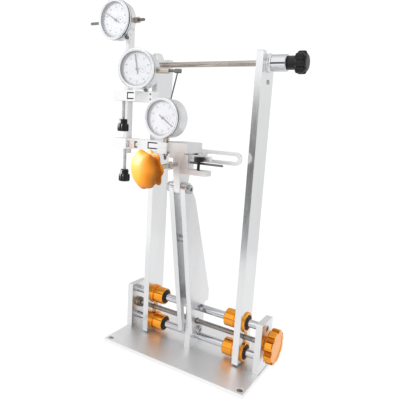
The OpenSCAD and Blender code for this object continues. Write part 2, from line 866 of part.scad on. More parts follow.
// Lobed knob that turns on the through axle
module axle_knob() {
  hollow_d = axle_knob_d * 0.3;
  edge = 2;
  cap_r = axle_knob_d / 2 - 2 * edge;
  color(black) translate([0, 0, axle_z]) difference() {
    x_turned([
      [0, neck_x], [neck_d / 2, neck_x], [neck_d / 2, axle_knob_x], [axle_knob_d / 2 - edge, axle_knob_x],
      [axle_knob_d / 2, axle_knob_x + edge], [axle_knob_d / 2, axle_knob_end - 2 * edge],
      [cap_r, axle_knob_end - edge], [cap_r - edge, axle_knob_end], [0, axle_knob_end]
    ]);
    for (i = [0 : axle_knob_lobes - 1])
      rotate([(i + 0.5) * 360 / axle_knob_lobes, 0, 0])
        x_bar(hollow_d, axle_knob_x - eps, axle_knob_end + cut, 0, axle_knob_d / 2 + hollow_d / 8);
    x_bar(axle_d + 2 * run_fit, neck_x - cut, axle_right_x + side_gap);
  }
}

// Right plate of the feeler arm: blade above the rods, leg before them, eye at the pivot
module arm_plate() {
  difference() {
    union() {
      x_profile(arm_in_x, arm_out_x) polygon([
        [pivot[0], pivot[1] - eye_r], [leg_foot[0] + foot_chamfer, pivot[1] - eye_r], leg_foot,
        arm_front_top, [head[0] + top_r, head[1]],
        [head[0] + shoulder_back, head[1] - shoulder_drop],
        [pivot[0] + blade_rear, pivot[1] + blade_knee], [pivot[0] + blade_rear, blade_z],
        [arm_front(blade_z) + leg_w, blade_z], [arm_front(pivot[1] + eye_r) + leg_w, pivot[1] + eye_r],
        [pivot[0], pivot[1] + eye_r]
      ]);
      x_bar(2 * eye_r, arm_in_x, arm_out_x, pivot[0], pivot[1]);
      x_bar(2 * top_r, arm_in_x, arm_out_x, head[0], head[1]);
    }
    for (at = [pivot, head])
      x_bar(bolt_bore_d, arm_in_x - cut, arm_out_x + cut, at[0], at[1]);
  }
}

module arm_plate_right() {
  color(aluminium) arm_plate();
}

module arm_plate_left() {
  color(aluminium) mirror([1, 0, 0]) arm_plate();
}

// Round spacer that keeps the arm's plates apart
module arm_spacer() {
  color(steel) x_bar(spacer_d, -arm_in_x, arm_in_x, spacer_y, spacer_z);
}

// Pivot bolt and head bolt
module arm_bolts() {
  socket_d = bolt_d * 0.7;
  color(steel) for (at = [pivot, head])
    translate([0, at[0], at[1]]) difference() {
      x_turned([
        [0, -arm_out_x - hex_h], [bolt_d / 2, -arm_out_x - hex_h], [bolt_d / 2, arm_out_x],
        [bolt_head_d / 2, arm_out_x], [bolt_head_d / 2, arm_out_x + bolt_head_h - cut],
        [bolt_head_d / 2 - cut, arm_out_x + bolt_head_h], [0, arm_out_x + bolt_head_h]
      ]);
      translate([arm_out_x + bolt_head_h / 3, 0, 0]) rotate([0, 90, 0])
        cylinder(d = socket_d, h = bolt_head_h, $fn = 6);
    }
}

// Hexagon nuts on the left ends of the two bolts
module arm_nuts() {
  color(steel) for (at = [pivot, head])
    translate([-arm_out_x - hex_h, at[0], at[1]]) rotate([0, 90, 0]) difference() {
      cylinder(d = bolt_head_d / cos(30), h = hex_h, $fn = 6);
      translate([0, 0, -cut]) cylinder(d = bolt_bore_d, h = hex_h + 2 * cut);
    }
}

// Places children on the clamp stud's line, +Z pointing out to the knob
module on_stud() {
  translate(stud_point) rotate([90 + stud_tilt, 0, -stud_turn]) children();
}

// Head block: tongue between the arm's plates and a wide top under the box
module head_block() {
  color(aluminium) difference() {
    union() {
      x_profile(-tongue_x, tongue_x) polygon([
        [head[0] - top_r, head[1]], [head[0] + top_r, head[1]],
        [head[0] + neck_back, box_z - cap_h - cap_slope], [head[0] + neck_back, box_z],
        [block_front_y, box_z], [block_front_y, box_z - cap_h - cap_slope]
      ]);
      x_bar(2 * top_r, -tongue_x, tongue_x, head[0], head[1]);
      block([-cap_x, block_front_y, box_z - cap_h], [cap_x, head[0] + cap_back, box_z]);
    }
    x_bar(bolt_bore_d, -bar_t, bar_t, head[0], head[1]);
    on_stud() translate([0, 0, -stud_seat]) cylinder(d = stud_d + 2 * run_fit, h = 4 * stud_seat);
  }
}

// Box on top of the head block, with a lug below its rear right corner
module head_box() {
  edge = 1;
  color(aluminium) difference() {
    union() {
      translate([box_shift, 0, 0]) x_profile(-box_w / 2, box_w / 2) polygon([
        [box_y, box_z], [box_back_y, box_z], [box_back_y, box_z + box_h - edge],
        [box_back_y - edge, box_z + box_h], [box_y + edge, box_z + box_h], [box_y, box_z + box_h - edge]
      ]);
      block([lug_x, box_back_y - lug_d, link_at[1] - link_pin_d], [box_right_x, box_back_y, box_z + eps]);
    }
    translate([link_at[0], box_back_y + cut, link_at[1]]) rotate([90, 0, 0])
      cylinder(d = link_pin_d + 2 * run_fit, h = lug_d + 2 * cut);
  }
}

// Threaded stud of the star knob, with a collar near the block
module head_stud() {
  collar_from = 7;
  collar_l = 5;
  color(steel) on_stud() {
    translate([0, 0, part_gap - stud_seat]) cylinder(d = stud_d, h = stud_l + star_h - star_wall);
    translate([0, 0, collar_from]) cylinder(d = stud_collar_d, h = collar_l);
  }
}

// Hollow star knob, open towards the head
module star_knob() {
  hub_wall = 4;
  hub_d = stud_d + 2 * hub_wall;
  edge = 3;
  inner_h = star_h - star_wall;
  rim_r = star_d / 2;
  crown_r = star_crown_d / 2;
  hollow_out = star_hollow_d * 0.3;
  color(orange) on_stud() translate([0, 0, stud_l]) difference() {
    rotate_extrude() polygon([
      [stud_d / 2 + run_fit, star_wall], [hub_d / 2, star_wall], [hub_d / 2, inner_h],
      [crown_r - star_wall, inner_h], [rim_r - star_wall, 0], [rim_r, 0], [rim_r, edge],
      [rim_r - edge / 2, star_h / 2], [crown_r + edge / 2, star_h - 2 * edge],
      [crown_r - edge, star_h - edge / 2], [crown_r - 3 * edge, star_h], [0, star_h],
      [0, inner_h + side_gap], [stud_d / 2 + run_fit, inner_h + side_gap]
    ]);
    for (i = [0 : star_lobes - 1])
      rotate([0, 0, (i + 0.5) * 360 / star_lobes]) translate([rim_r + hollow_out, 0, -cut])
        cylinder(d = star_hollow_d, h = star_h + 2 * cut);
  }
}

// Three-sided slit in the front face of a clamp, open on the right
module clamp_slit(x, y, z, l) {
  low = z + slit_margin;
  high = z + carrier_h - slit_margin;
  block([x, y - cut, low], [x + slit_w, y + slit_depth, high]);
  block([x, y - cut, low], [x + l, y + slit_depth, low + slit_w]);
  block([x, y - cut, high - slit_w], [x + l, y + slit_depth, high]);
}

// Carrier bar at height z: clamp end reaching to x0, and the bar on to x1
module carrier(x0, x1, z) {
  block([x0 - eps, bar_front_y, z], [x1, bar_front_y + carrier_d, z + carrier_h]);
  block([clamp_left_x, clamp_front_y, z], [x0, bar_y + clamp_back, z + carrier_h]);
}

// Hole for the post through a clamp end
module post_hole(z) {
  block(
    [post_x - post_w / 2 - slide_gap, bar_y - post_d / 2 - slide_gap, z - cut],
    [post_x + post_w / 2 + slide_gap, bar_y + post_d / 2 + slide_gap, z + carrier_h + cut]
  );
}

// Blind hole for a thumbscrew in a clamp end's underside
module thumb_hole(x, z) {
  translate([x, thumb_y, z - cut]) cylinder(d = thumb_d + 2 * run_fit, h = thumb_in + cut + side_gap);
}

// Lower carrier bar: fixed to the box, clamps the low dial's stem and the post
module dial_bar() {
  ear_x = dial_low_at[0];
  color(aluminium) difference() {
    union() {
      carrier(clamp_right_x, box_left_x, low_bar_z);
      block(
        [ear_x - ear_half, dial_low_y - ear_front, low_bar_z],
        [box_left_x, bar_y, low_bar_z + carrier_h]
      );
    }
    post_hole(low_bar_z);
    thumb_hole(thumb_post_x, low_bar_z);
    translate([ear_x, dial_low_y, low_bar_z - cut])
      cylinder(d = stem_d + 2 * run_fit, h = carrier_h + 2 * cut);
    clamp_slit(ear_x - ear_half - slit_l - slit_in, bar_front_y, low_bar_z, slit_l);
  }
}

// Square post that carries the upper bar and the top dial
module post() {
  edge = 0.6;
  color(aluminium) translate([post_x, bar_y, post_foot_z]) linear_extrude(post_top_z - post_foot_z)
    polygon([
      [-post_w / 2 + edge, -post_d / 2], [post_w / 2 - edge, -post_d / 2], [post_w / 2, -post_d / 2 + edge],
      [post_w / 2, post_d / 2 - edge], [post_w / 2 - edge, post_d / 2], [-post_w / 2 + edge, post_d / 2],
      [-post_w / 2, post_d / 2 - edge], [-post_w / 2, -post_d / 2 + edge]
    ]);
}

// Upper carrier bar that slides on the post, with the middle dial's swivel pin
module upper_bar() {
  dot_d = 2.4;
  dot_in = 3.5;
  pin_l = dial_mid_up + swivel_over;
  color(aluminium) difference() {
    union() {
      carrier(high_clamp_x, high_bar_x, high_bar_z);
      translate([swivel_x, swivel_y, high_bar_z + carrier_h - eps]) cylinder(d = swivel_d, h = pin_l);
    }
    post_hole(high_bar_z);
    thumb_hole(thumb_bar_x, high_bar_z);
    for (up = [-1, 1])
      translate([high_bar_x - dot_in, bar_front_y - eps, high_bar_z + carrier_h / 2 + up * dot_in])
        rotate([-90, 0, 0]) cylinder(d = dot_d, h = slit_depth);
    clamp_slit(high_clamp_x - high_slit_l, clamp_front_y, high_bar_z, high_slit_l - slit_margin);
  }
}

// Grip with fine notches, standing on z = 0
module grip(d, h) {
  notches = 14;
  notch_d = d * 0.14;
  difference() {
    cylinder(d = d, h = h);
    for (i = [0 : notches - 1])
      rotate([0, 0, i * 360 / notches]) translate([d / 2 + notch_d / 5, 0, -cut])
        cylinder(d = notch_d, h = h + 2 * cut);
  }
}

// Thumbscrew with a bare stem of length l below a clamp end whose underside is at z
module thumbscrew(x, z, l) {
  translate([x, thumb_y, z - l - grip_h]) {
    grip(grip_d, grip_h);
    translate([0, 0, grip_h - eps]) cylinder(d = thumb_d, h = l + thumb_in);
  }
}

module thumbscrew_post() {
  color(black) thumbscrew(thumb_post_x, low_bar_z, thumb_low_l);
}

module thumbscrew_bar() {
  color(black) thumbscrew(thumb_bar_x, high_bar_z, thumb_l);
}

// Feeler clamp: block on the head's right side with two jaws
module feeler_clamp() {
  front_y = jaw_y - feeler_d / 2;
  back_y = jaw_y + feeler_d / 2;
  color(aluminium) difference() {
    union() {
      block([tongue_x, front_y, jaw_low_z], [jaw_x, back_y, box_z - cap_h - part_gap]);
      block([jaw_x - eps, front_y, jaw_low_z], [jaw_x + jaw_l, back_y, jaw_low_z + jaw_t]);
      block([cap_x + part_gap, front_y, jaw_low_z], [jaw_x, back_y, jaw_high_z + jaw_t]);
      block([jaw_x - eps, back_y - jaw_rear_d, jaw_high_z], [jaw_x + jaw_l, back_y, jaw_high_z + jaw_t]);
    }
    x_bar(rod_feeler_d + 2 * run_fit, tongue_x - cut, jaw_x + cut, rod_feeler_y, rod_feeler_z);
    translate([jaw_screw[0], jaw_screw[1], jaw_low_z - cut])
      cylinder(d = jaw_stem_d + 2 * run_fit, h = jaw_t + 2 * cut);
  }
}

// Thin feeler rod that slides in the clamp's block
module feeler_rod() {
  tip_r = rod_feeler_d / 2;
  color(dark_steel) {
    x_bar(rod_feeler_d, rod_feeler_x, rod_feeler_x + rod_feeler_l, rod_feeler_y, rod_feeler_z);
    translate([rod_feeler_x + rod_feeler_l, rod_feeler_y, rod_feeler_z]) sphere(r = tip_r);
  }
}

// Screw with a flat grip that stands in the lower jaw
module thumbscrew_feeler() {
  color(black) translate([jaw_screw[0], jaw_screw[1], 0]) {
    translate([0, 0, jaw_grip_z]) grip(jaw_grip_d, jaw_grip_h);
    translate([0, 0, jaw_low_z]) cylinder(d = jaw_stem_d, h = jaw_grip_z - jaw_low_z + eps);
  }
}

// Slotted feeler link that swings behind the box
module feeler_link() {
  color(aluminium) translate([link_at[0], link_y + link_t, link_at[1]]) rotate([90, 0, 0]) difference() {
    union() {
      cylinder(d = link_h, h = link_t);
      translate([0, -link_h / 2, 0]) cube([link_l, link_h, link_t]);
      translate([link_l, 0, 0]) cylinder(d = link_h, h = link_t);
    }
    translate([0, 0, -cut]) cylinder(d = link_pin_d + 2 * run_fit, h = link_t + 2 * cut);
    for (x = [link_slot_from, link_l])
      translate([x, 0, -cut]) cylinder(d = link_slot_h, h = link_t + 2 * cut);
    translate([link_slot_from, -link_slot_h / 2, -cut])
      cube([link_l - link_slot_from, link_slot_h, link_t + 2 * cut]);
  }
}

// Shoulder pin of the link in the box's lug
module link_pin() {
  reach = lug_d + link_t + 2 * part_gap;
  color(dark_steel) translate([link_at[0], box_back_y - lug_d, link_at[1]]) rotate([-90, 0, 0]) {
    cylinder(d = link_pin_d, h = reach + eps);
    translate([0, 0, reach]) cylinder(d = pin_head_d, h = pin_head_t);
  }
}

// Places children on a dial: +Z out of its face, +X along its stem
module on_dial(at, turn, stem) {
  translate(at) rotate([0, 0, turn]) rotate([0, stem, 0]) rotate([90, 0, 0]) children();
}

module on_top() {
  on_dial(dial_top_at, 0, 0) children();
}

module on_mid() {
  on_dial(dial_mid_at, dial_turn, 0) children();
}

module on_low() {
  on_dial(dial_low_at, 0, 90) children();
}

// Dial case with its stem and a back of diameter back_d, bored for the plunger and the needle's arbor
module dial_case(stem_l, bore_from, back_d = case_d) {
  difference() {
    union() {
      rotate_extrude() polygon([
        [0, -case_back], [back_d / 2, -case_back], [case_d / 2, -case_shoulder],
        [case_d / 2, case_front], [0, case_front]
      ]);
      cylinder(r = ledge_r, h = spigot_front);
      x_bar(stem_d, 0, case_d / 2 + stem_l);
      children();
    }
    x_bar(plunger_d + 2 * run_fit, bore_from, case_d / 2 + stem_l + cut);
    translate([0, 0, arbor_back - slide_gap]) cylinder(d = arbor_d + 2 * run_fit, h = spigot_front);
  }
}

// Turning bezel ring with a front rim and a ledge for the face
module dial_bezel() {
  edge = 1;
  color(aluminium) rotate_extrude() polygon([
    [ledge_r + run_fit, bezel_back], [bezel_d / 2, bezel_back], [bezel_d / 2, bezel_front - edge],
    [bezel_d / 2 - edge, bezel_front], [bezel_d / 2 - bezel_rim, bezel_front],
    [bezel_d / 2 - bezel_rim, glass_front], [dial_r, glass_front], [dial_r, ledge_front],
    [ledge_r + run_fit, ledge_front]
  ]);
}

// Graduated face on the bezel's ledge
module dial_face() {
  color(white) translate([0, 0, ledge_front]) difference() {
    cylinder(r = dial_r - run_fit, h = face_t);
    translate([0, 0, -cut]) cylinder(d = arbor_d + cut, h = face_t + 2 * cut);
  }
}

// Flat glass behind the bezel's rim
module dial_glass() {
  color(clear) translate([0, 0, glass_front - glass_t]) cylinder(r = dial_r - run_fit, h = glass_t);
}

// Needle with hub, tail and arbor, pointing at angle a from the stem's line
module dial_needle(a) {
  color(black) rotate([0, 0, a]) {
    translate([0, 0, arbor_back]) cylinder(d = arbor_d, h = needle_back - arbor_back + eps);
    translate([0, 0, needle_back]) cylinder(d = needle_hub_d, h = 2 * needle_t);
    translate([-needle_tail, -needle_w / 2, needle_back]) cube([needle_tail + needle_l, needle_w, needle_t]);
  }
}

// Plunger from x0 to x1 with a round contact tip
module dial_plunger(x0, x1) {
  x_bar(plunger_d, x0, x1);
  translate([x1, 0, 0]) sphere(d = plunger_d);
}

// Top dial, fixed to the post by a boss on its back
module dial_case_top() {
  color(aluminium) on_top() dial_case(stem_top_l, -case_d, top_back_d)
    translate([0, 0, -case_back - boss_l]) cylinder(d = boss_d, h = boss_l + eps);
}

module dial_bezel_top() {
  on_top() dial_bezel();
}

module dial_face_top() {
  on_top() dial_face();
}

module dial_glass_top() {
  on_top() dial_glass();
}

module dial_needle_top() {
  on_top() dial_needle(needle_top_a);
}

module dial_plunger_top() {
  color(steel) on_top() dial_plunger(-case_d / 2 - pin_top_l, case_d / 2 + stem_top_l + tip_l);
}

// Middle dial, clamped on the upper bar's swivel pin by a lug on its back
module dial_case_mid() {
  lug_h = 14;
  color(aluminium) difference() {
    on_mid() dial_case(stem_mid_l, -bore_in)
      translate([-lug_h / 2, -lug_h / 2, -swivel_off - swivel_back])
        cube([lug_h, lug_h, 2 * swivel_back + eps]);
    translate([swivel_x, swivel_y, high_bar_z]) cylinder(d = swivel_d + 2 * run_fit, h = 2 * case_d);
  }
}

module dial_bezel_mid() {
  on_mid() dial_bezel();
}

module dial_face_mid() {
  on_mid() dial_face();
}

module dial_glass_mid() {
  on_mid() dial_glass();
}

module dial_needle_mid() {
  on_mid() dial_needle(needle_mid_a);
}

// Plunger of the middle dial, with a contact block and a stylus down to the rim
module dial_plunger_mid() {
  end_x = case_d / 2 + stem_mid_l + tip_l;
  block_l = 9;
  block_d = plunger_d + 2;
  lean = atan2(stylus_slant, stylus_drop);
  back_lean = atan2(stylus_back, stylus_drop);
  color(steel) on_mid() {
    x_bar(plunger_d, -plunger_in, end_x + eps);
    x_bar(block_d, end_x, end_x + block_l);
    translate([end_x + block_l / 2, 0, 0]) rotate([90 + back_lean, 0, 0]) rotate([0, -lean, 0])
      cylinder(d = stylus_d, h = norm([stylus_drop, stylus_slant, stylus_back]));
  }
}

// Low dial, held by its stem in the lower bar's ear
module dial_case_low() {
  color(aluminium) on_low() dial_case(stem_low_l, -bore_in);
}

module dial_bezel_low() {
  on_low() dial_bezel();
}

module dial_face_low() {
  on_low() dial_face();
}

module dial_glass_low() {
  on_low() dial_glass();
}

module dial_needle_low() {
  on_low() dial_needle(needle_low_a);
}

module dial_plunger_low() {
  color(steel) on_low() dial_plunger(-plunger_in, case_d / 2 + stem_low_l + tip_l / 2);
}

base_plate();
end_plate_left();
end_plate_right();
plate_screws();
guide_rods();
rod_screws();
centre_block();
screw_bearings();
lead_screw();
lead_screw_knob();
screw_collar();
upright_left();
bush_housings_left();
rod_wipers_left();
lead_nut_left();
upright_right();
bush_housings_right();
rod_wipers_right();
lead_nut_right();
clamp_flange();
clamp_sleeve();
thru_axle();
axle_knob();
arm_plate_left();
arm_plate_right();
arm_spacer();
arm_bolts();
arm_nuts();
head_block();
head_box();
head_stud();
star_knob();
dial_bar();
post();
upper_bar();
thumbscrew_post();
thumbscrew_bar();
feeler_clamp();
feeler_rod();
thumbscrew_feeler();
feeler_link();
link_pin();
dial_case_top();
dial_bezel_top();
dial_face_top();
dial_glass_top();
dial_needle_top();
dial_plunger_top();
dial_case_mid();
dial_bezel_mid();
dial_face_mid();
dial_glass_mid();
dial_needle_mid();
dial_plunger_mid();
dial_case_low();
dial_bezel_low();
dial_face_low();
dial_glass_low();
dial_needle_low();
dial_plunger_low();
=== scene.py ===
"""Looks of the bicycle wheel truing stand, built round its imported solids. Lengths are in mm."""

import json
import math

import bmesh
import bpy
from mathutils import Matrix, Vector


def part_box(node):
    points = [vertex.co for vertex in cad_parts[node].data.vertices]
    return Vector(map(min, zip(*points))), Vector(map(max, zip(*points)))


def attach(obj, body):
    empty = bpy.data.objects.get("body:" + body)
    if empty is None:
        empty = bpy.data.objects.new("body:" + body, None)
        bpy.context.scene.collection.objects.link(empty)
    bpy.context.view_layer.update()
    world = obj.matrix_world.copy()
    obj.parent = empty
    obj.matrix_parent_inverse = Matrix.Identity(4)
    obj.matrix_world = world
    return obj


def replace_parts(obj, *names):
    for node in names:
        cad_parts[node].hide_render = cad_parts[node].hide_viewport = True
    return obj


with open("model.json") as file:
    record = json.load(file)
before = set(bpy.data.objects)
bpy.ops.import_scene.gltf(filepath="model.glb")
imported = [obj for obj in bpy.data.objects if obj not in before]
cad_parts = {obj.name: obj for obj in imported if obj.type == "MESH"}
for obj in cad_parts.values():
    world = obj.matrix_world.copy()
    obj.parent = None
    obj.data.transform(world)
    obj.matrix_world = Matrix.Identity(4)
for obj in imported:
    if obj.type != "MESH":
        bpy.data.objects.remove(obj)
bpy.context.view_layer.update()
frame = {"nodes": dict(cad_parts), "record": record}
nodes = frame["nodes"]
body_of = {n: b for b, ns in frame["record"]["behaviour"]["bodies"].items() for n in ns}
MM = 0.001
TURN = 2 * math.pi
UP = Vector((0, 0, 1))
X_AXES = (UP, Vector((0, -1, 0)), Vector((1, 0, 0)))
Z_AXES = (Vector((1, 0, 0)), Vector((0, 1, 0)), UP)
# Between a small piece and the face it lies on
GAP = 0.02


def link(obj):
    bpy.context.scene.collection.objects.link(obj)
    return obj


def unit(x):
    return min(1.0, max(0.0, x))


# Camera at the photograph's place, from a fit to the object's straight edges
CAM_AT = Vector((319.01, -547.96, 361.87)) * MM
CAM_AZIMUTH, CAM_ELEVATION, CAM_ROLL = (math.radians(a) for a in (30.510, 10.467, 3.552))
CAM_LENS, CAM_SENSOR = 37.755, 36.0
CAM_NEAR_M, CAM_FAR_M = 0.01, 50


def make_camera():
    ce = math.cos(CAM_ELEVATION)
    back = Vector((math.sin(CAM_AZIMUTH) * ce, -math.cos(CAM_AZIMUTH) * ce, math.sin(CAM_ELEVATION)))
    right = (-back).cross(UP).normalized()
    up = right.cross(-back)
    right, up = (
        math.cos(CAM_ROLL) * right + math.sin(CAM_ROLL) * up,
        -math.sin(CAM_ROLL) * right + math.cos(CAM_ROLL) * up,
    )
    data = bpy.data.cameras.new("camera")
    data.lens, data.sensor_width = CAM_LENS, CAM_SENSOR
    data.clip_start, data.clip_end = CAM_NEAR_M, CAM_FAR_M
    cam = link(bpy.data.objects.new("camera", data))
    cam.matrix_world = Matrix([(right[i], up[i], back[i], CAM_AT[i]) for i in range(3)] + [(0, 0, 0, 1)])
    bpy.context.scene.camera = cam


make_camera()

# Materials
NOISE_LOW, NOISE_HIGH = 0.3, 0.7
FINE_DETAIL, BROAD_DETAIL = 3.0, 2.0


def node_tree(name):
    m = bpy.data.materials.new(name)
    m.use_nodes = True
    return m, m.node_tree, m.node_tree.nodes["Principled BSDF"]


def set_sockets(shader, **values):
    for key, value in values.items():
        shader.inputs[key.replace("_", " ")].default_value = value


def grain(tree, stretch, detail=FINE_DETAIL):
    """Noise in the part's own frame, with one frequency for each axis in cycles per metre."""
    coord = tree.nodes.new("ShaderNodeTexCoord")
    mapping = tree.nodes.new("ShaderNodeMapping")
    mapping.inputs["Scale"].default_value = stretch
    noise = tree.nodes.new("ShaderNodeTexNoise")
    noise.inputs["Scale"].default_value = 1.0
    noise.inputs["Detail"].default_value = detail
    tree.links.new(coord.outputs["Object"], mapping.inputs["Vector"])
    tree.links.new(mapping.outputs["Vector"], noise.inputs["Vector"])
    return noise.outputs["Fac"]


def span(tree, value, low, high, start=NOISE_LOW, stop=NOISE_HIGH, kind="LINEAR"):
    """Carries a value between start and stop over to low and high."""
    r = tree.nodes.new("ShaderNodeMapRange")
    r.interpolation_type = kind
    r.inputs["From Min"].default_value, r.inputs["From Max"].default_value = start, stop
    r.inputs["To Min"].default_value, r.inputs["To Max"].default_value = low, high
    tree.links.new(value, r.inputs["Value"])
    return r.outputs["Result"]


def two_tone(tree, value, dark, light):
    ramp = tree.nodes.new("ShaderNodeValToRGB")
    first, second = ramp.color_ramp.elements
    first.position, first.color = NOISE_LOW, (*dark, 1)
    second.position, second.color = NOISE_HIGH, (*light, 1)
    tree.links.new(value, ramp.inputs["Fac"])
    return ramp.outputs["Color"]


def rough_bump(tree, shader, value, strength, depth):
    bump = tree.nodes.new("ShaderNodeBump")
    bump.inputs["Strength"].default_value = strength
    bump.inputs["Distance"].default_value = depth * MM
    tree.links.new(value, bump.inputs["Height"])
    tree.links.new(bump.outputs["Normal"], shader.inputs["Normal"])


def finish_material(name, dark, light, rough, fine, broad, bump=(0.15, 0.02), **sockets):
    """Fine grain drives roughness and bump (strength, depth), broad grain the drift from dark to light."""
    m, tree, shader = node_tree(name)
    set_sockets(shader, **sockets)
    fine_grain, broad_grain = grain(tree, fine), grain(tree, broad, BROAD_DETAIL)
    tree.links.new(two_tone(tree, broad_grain, dark, light), shader.inputs["Base Color"])
    tree.links.new(span(tree, fine_grain, *rough), shader.inputs["Roughness"])
    rough_bump(tree, shader, fine_grain, *bump)
    return m


def even(n):
    return (n, n, n)


FINE, LONG = 2600.0, 45.0
UPRIGHT_FINE, UPRIGHT_BROAD = (FINE, FINE, LONG), (16, 16, 6)
ALONG_FINE, ALONG_BROAD = (LONG, FINE, FINE), (6, 16, 16)
SILVER, SILVER_LIGHT = (0.715, 0.72, 0.73), (0.79, 0.79, 0.795)
BRIGHT, BRIGHT_LIGHT = (0.80, 0.803, 0.81), (0.87, 0.87, 0.873)
alu_z = finish_material("aluminium_brushed_upright", SILVER, SILVER_LIGHT, (0.24, 0.40),
                        UPRIGHT_FINE, UPRIGHT_BROAD, Metallic=1.0)
alu_upright = finish_material("aluminium_ground_upright", SILVER, SILVER_LIGHT, (0.14, 0.24),
                              UPRIGHT_FINE, UPRIGHT_BROAD, bump=(0.08, 0.01), Metallic=1.0)
alu_x = finish_material("aluminium_brushed_along", BRIGHT, BRIGHT_LIGHT, (0.24, 0.40),
                        ALONG_FINE, ALONG_BROAD, Metallic=1.0)
alu_plate = finish_material("aluminium_satin_plate", (0.86, 0.863, 0.865), (0.92, 0.92, 0.922),
                            (0.40, 0.54), ALONG_FINE, ALONG_BROAD, Metallic=1.0)
alu_turned = finish_material("aluminium_turned", SILVER, SILVER_LIGHT, (0.18, 0.30),
                             (FINE, 160, 160), even(30), Metallic=1.0)
dial_metal = finish_material("dial_satin_metal", (0.72, 0.73, 0.75), (0.80, 0.805, 0.815), (0.20, 0.34),
                             even(1500), even(40), Metallic=1.0)
polished = finish_material("steel_polished", (0.54, 0.545, 0.58), (0.66, 0.665, 0.69), (0.05, 0.12),
                           ALONG_FINE, (6, 160, 160), bump=(0.03, 0.005), Metallic=1.0)
steel = finish_material("steel_satin", (0.42, 0.42, 0.43), (0.56, 0.56, 0.57), (0.18, 0.32),
                        (FINE, 500, 500), even(60), Metallic=1.0)
axle_steel = finish_material("steel_warm", (0.43, 0.38, 0.335), (0.55, 0.50, 0.45), (0.14, 0.24),
                             (FINE, 300, 300), (24, 60, 60), Metallic=1.0)
dark_steel = finish_material("steel_blackened", (0.13, 0.125, 0.12), (0.24, 0.23, 0.22), (0.26, 0.42),
                             even(1800), even(70), Metallic=1.0)
screw_steel = finish_material("steel_oiled", (0.29, 0.27, 0.255), (0.40, 0.38, 0.36), (0.24, 0.38),
                              even(1800), even(70), Metallic=1.0)
bronze = finish_material("bronze_turned", (0.42, 0.26, 0.11), (0.62, 0.42, 0.18), (0.22, 0.38),
                         (FINE, 300, 300), even(60), Metallic=1.0)
orange_metal = finish_material("orange_anodised", (0.84, 0.30, 0.022), (0.95, 0.40, 0.035), (0.16, 0.26),
                               (FINE, 220, 220), even(40), bump=(0.06, 0.01), Metallic=1.0,
                               Coat_Weight=0.25, Coat_Roughness=0.08)
# Darker orange for the walls of the lead screw knob's notches: painted shade in the notches
orange_notch_painted_shade = finish_material("orange_notch_painted_shade_finish", (0.42, 0.105, 0.008), (0.54, 0.16, 0.013),
                              (0.30, 0.44), (FINE, 220, 220), even(40), bump=(0.06, 0.01), Metallic=1.0)
orange_plastic = finish_material("orange_moulded", (0.68, 0.205, 0.005), (0.75, 0.245, 0.008),
                                 (0.46, 0.58), even(900), even(30), bump=(0.05, 0.03), Metallic=0.0)
black_plastic = finish_material("black_moulded", (0.003, 0.003, 0.0035), (0.009, 0.009, 0.010),
                                (0.26, 0.40), even(1600), even(50), bump=(0.25, 0.04), Metallic=0.0,
                                Specular_IOR_Level=0.3)
rubber = finish_material("rubber_seal", (0.012, 0.012, 0.013), (0.026, 0.026, 0.028), (0.55, 0.75),
                         even(1200), even(60), bump=(0.3, 0.05), Metallic=0.0)
printed_white = finish_material("dial_white", (0.92, 0.925, 0.94), (0.965, 0.967, 0.975), (0.35, 0.48),
                                even(1400), even(50), bump=(0.05, 0.02), Metallic=0.0)
ink = finish_material("dial_ink", (0.17, 0.17, 0.18), (0.25, 0.25, 0.26), (0.45, 0.6),
                      even(1400), even(200), bump=(0.05, 0.01), Metallic=0.0)
needle_grey = finish_material("needle_grey", (0.26, 0.26, 0.27), (0.35, 0.35, 0.36), (0.35, 0.5),
                              even(1400), even(200), bump=(0.05, 0.01), Metallic=0.0)
seal_grey = finish_material("dial_seal", (0.34, 0.34, 0.35), (0.42, 0.42, 0.43), (0.5, 0.7),
                            even(1200), even(120), Metallic=0.0)
alu_block = finish_material("aluminium_blasted_block", BRIGHT, BRIGHT_LIGHT, (0.44, 0.58),
                            even(1400), even(16), Metallic=1.0)
# Near-black for painted shade in slits, slots and grooves
shade = finish_material("slot_shade", (0.045, 0.043, 0.042), (0.085, 0.082, 0.08), (0.5, 0.7),
                        even(900), even(200), Metallic=0.0)


def glass_material():
    m, tree, shader = node_tree("dial_clear_painted_reflection")
    set_sockets(shader, Metallic=0.0, IOR=1.5, Alpha=0.16)
    # Lilac-grey base colour at low alpha: a faint haze of painted reflection over the dial
    reflection_haze = two_tone(tree, grain(tree, even(35), BROAD_DETAIL), (0.78, 0.80, 0.86), (0.86, 0.88, 0.93))
    tree.links.new(reflection_haze, shader.inputs["Base Color"])
    tree.links.new(span(tree, grain(tree, even(500)), 0.02, 0.06), shader.inputs["Roughness"])
    return m


clear = glass_material()

DIALS = ("top", "mid", "low")
FINISH = {
    alu_upright: ["upright_left", "upright_right"],
    alu_z: ["end_plate_left", "end_plate_right", "centre_block", "arm_plate_left", "arm_plate_right",
            "post", "arm_spacer"],
    alu_block: ["head_block", "feeler_clamp", "head_box"],
    alu_x: ["dial_bar", "upper_bar"],
    alu_plate: ["base_plate", "feeler_link"],
    alu_turned: ["clamp_flange"],
    polished: ["guide_rods", "clamp_sleeve"],
    axle_steel: ["thru_axle", "head_stud"],
    screw_steel: ["lead_screw"],
    steel: ["plate_screws", "arm_bolts", "arm_nuts"],
    dark_steel: ["rod_screws", "link_pin", "screw_collar", "feeler_rod"]
                + [f"dial_plunger_{d}" for d in DIALS],
    bronze: ["screw_bearings", "lead_nut_left", "lead_nut_right"],
    orange_metal: ["bush_housings_left", "bush_housings_right", "lead_screw_knob"],
    orange_plastic: ["star_knob"],
    rubber: ["rod_wipers_left", "rod_wipers_right"],
    black_plastic: ["axle_knob", "thumbscrew_post", "thumbscrew_bar", "thumbscrew_feeler"],
    dial_metal: [f"dial_{p}_{d}" for d in DIALS for p in ("case", "bezel")],
    printed_white: [f"dial_face_{d}" for d in DIALS],
    clear: [f"dial_glass_{d}" for d in DIALS],
    needle_grey: [f"dial_needle_{d}" for d in DIALS],
}
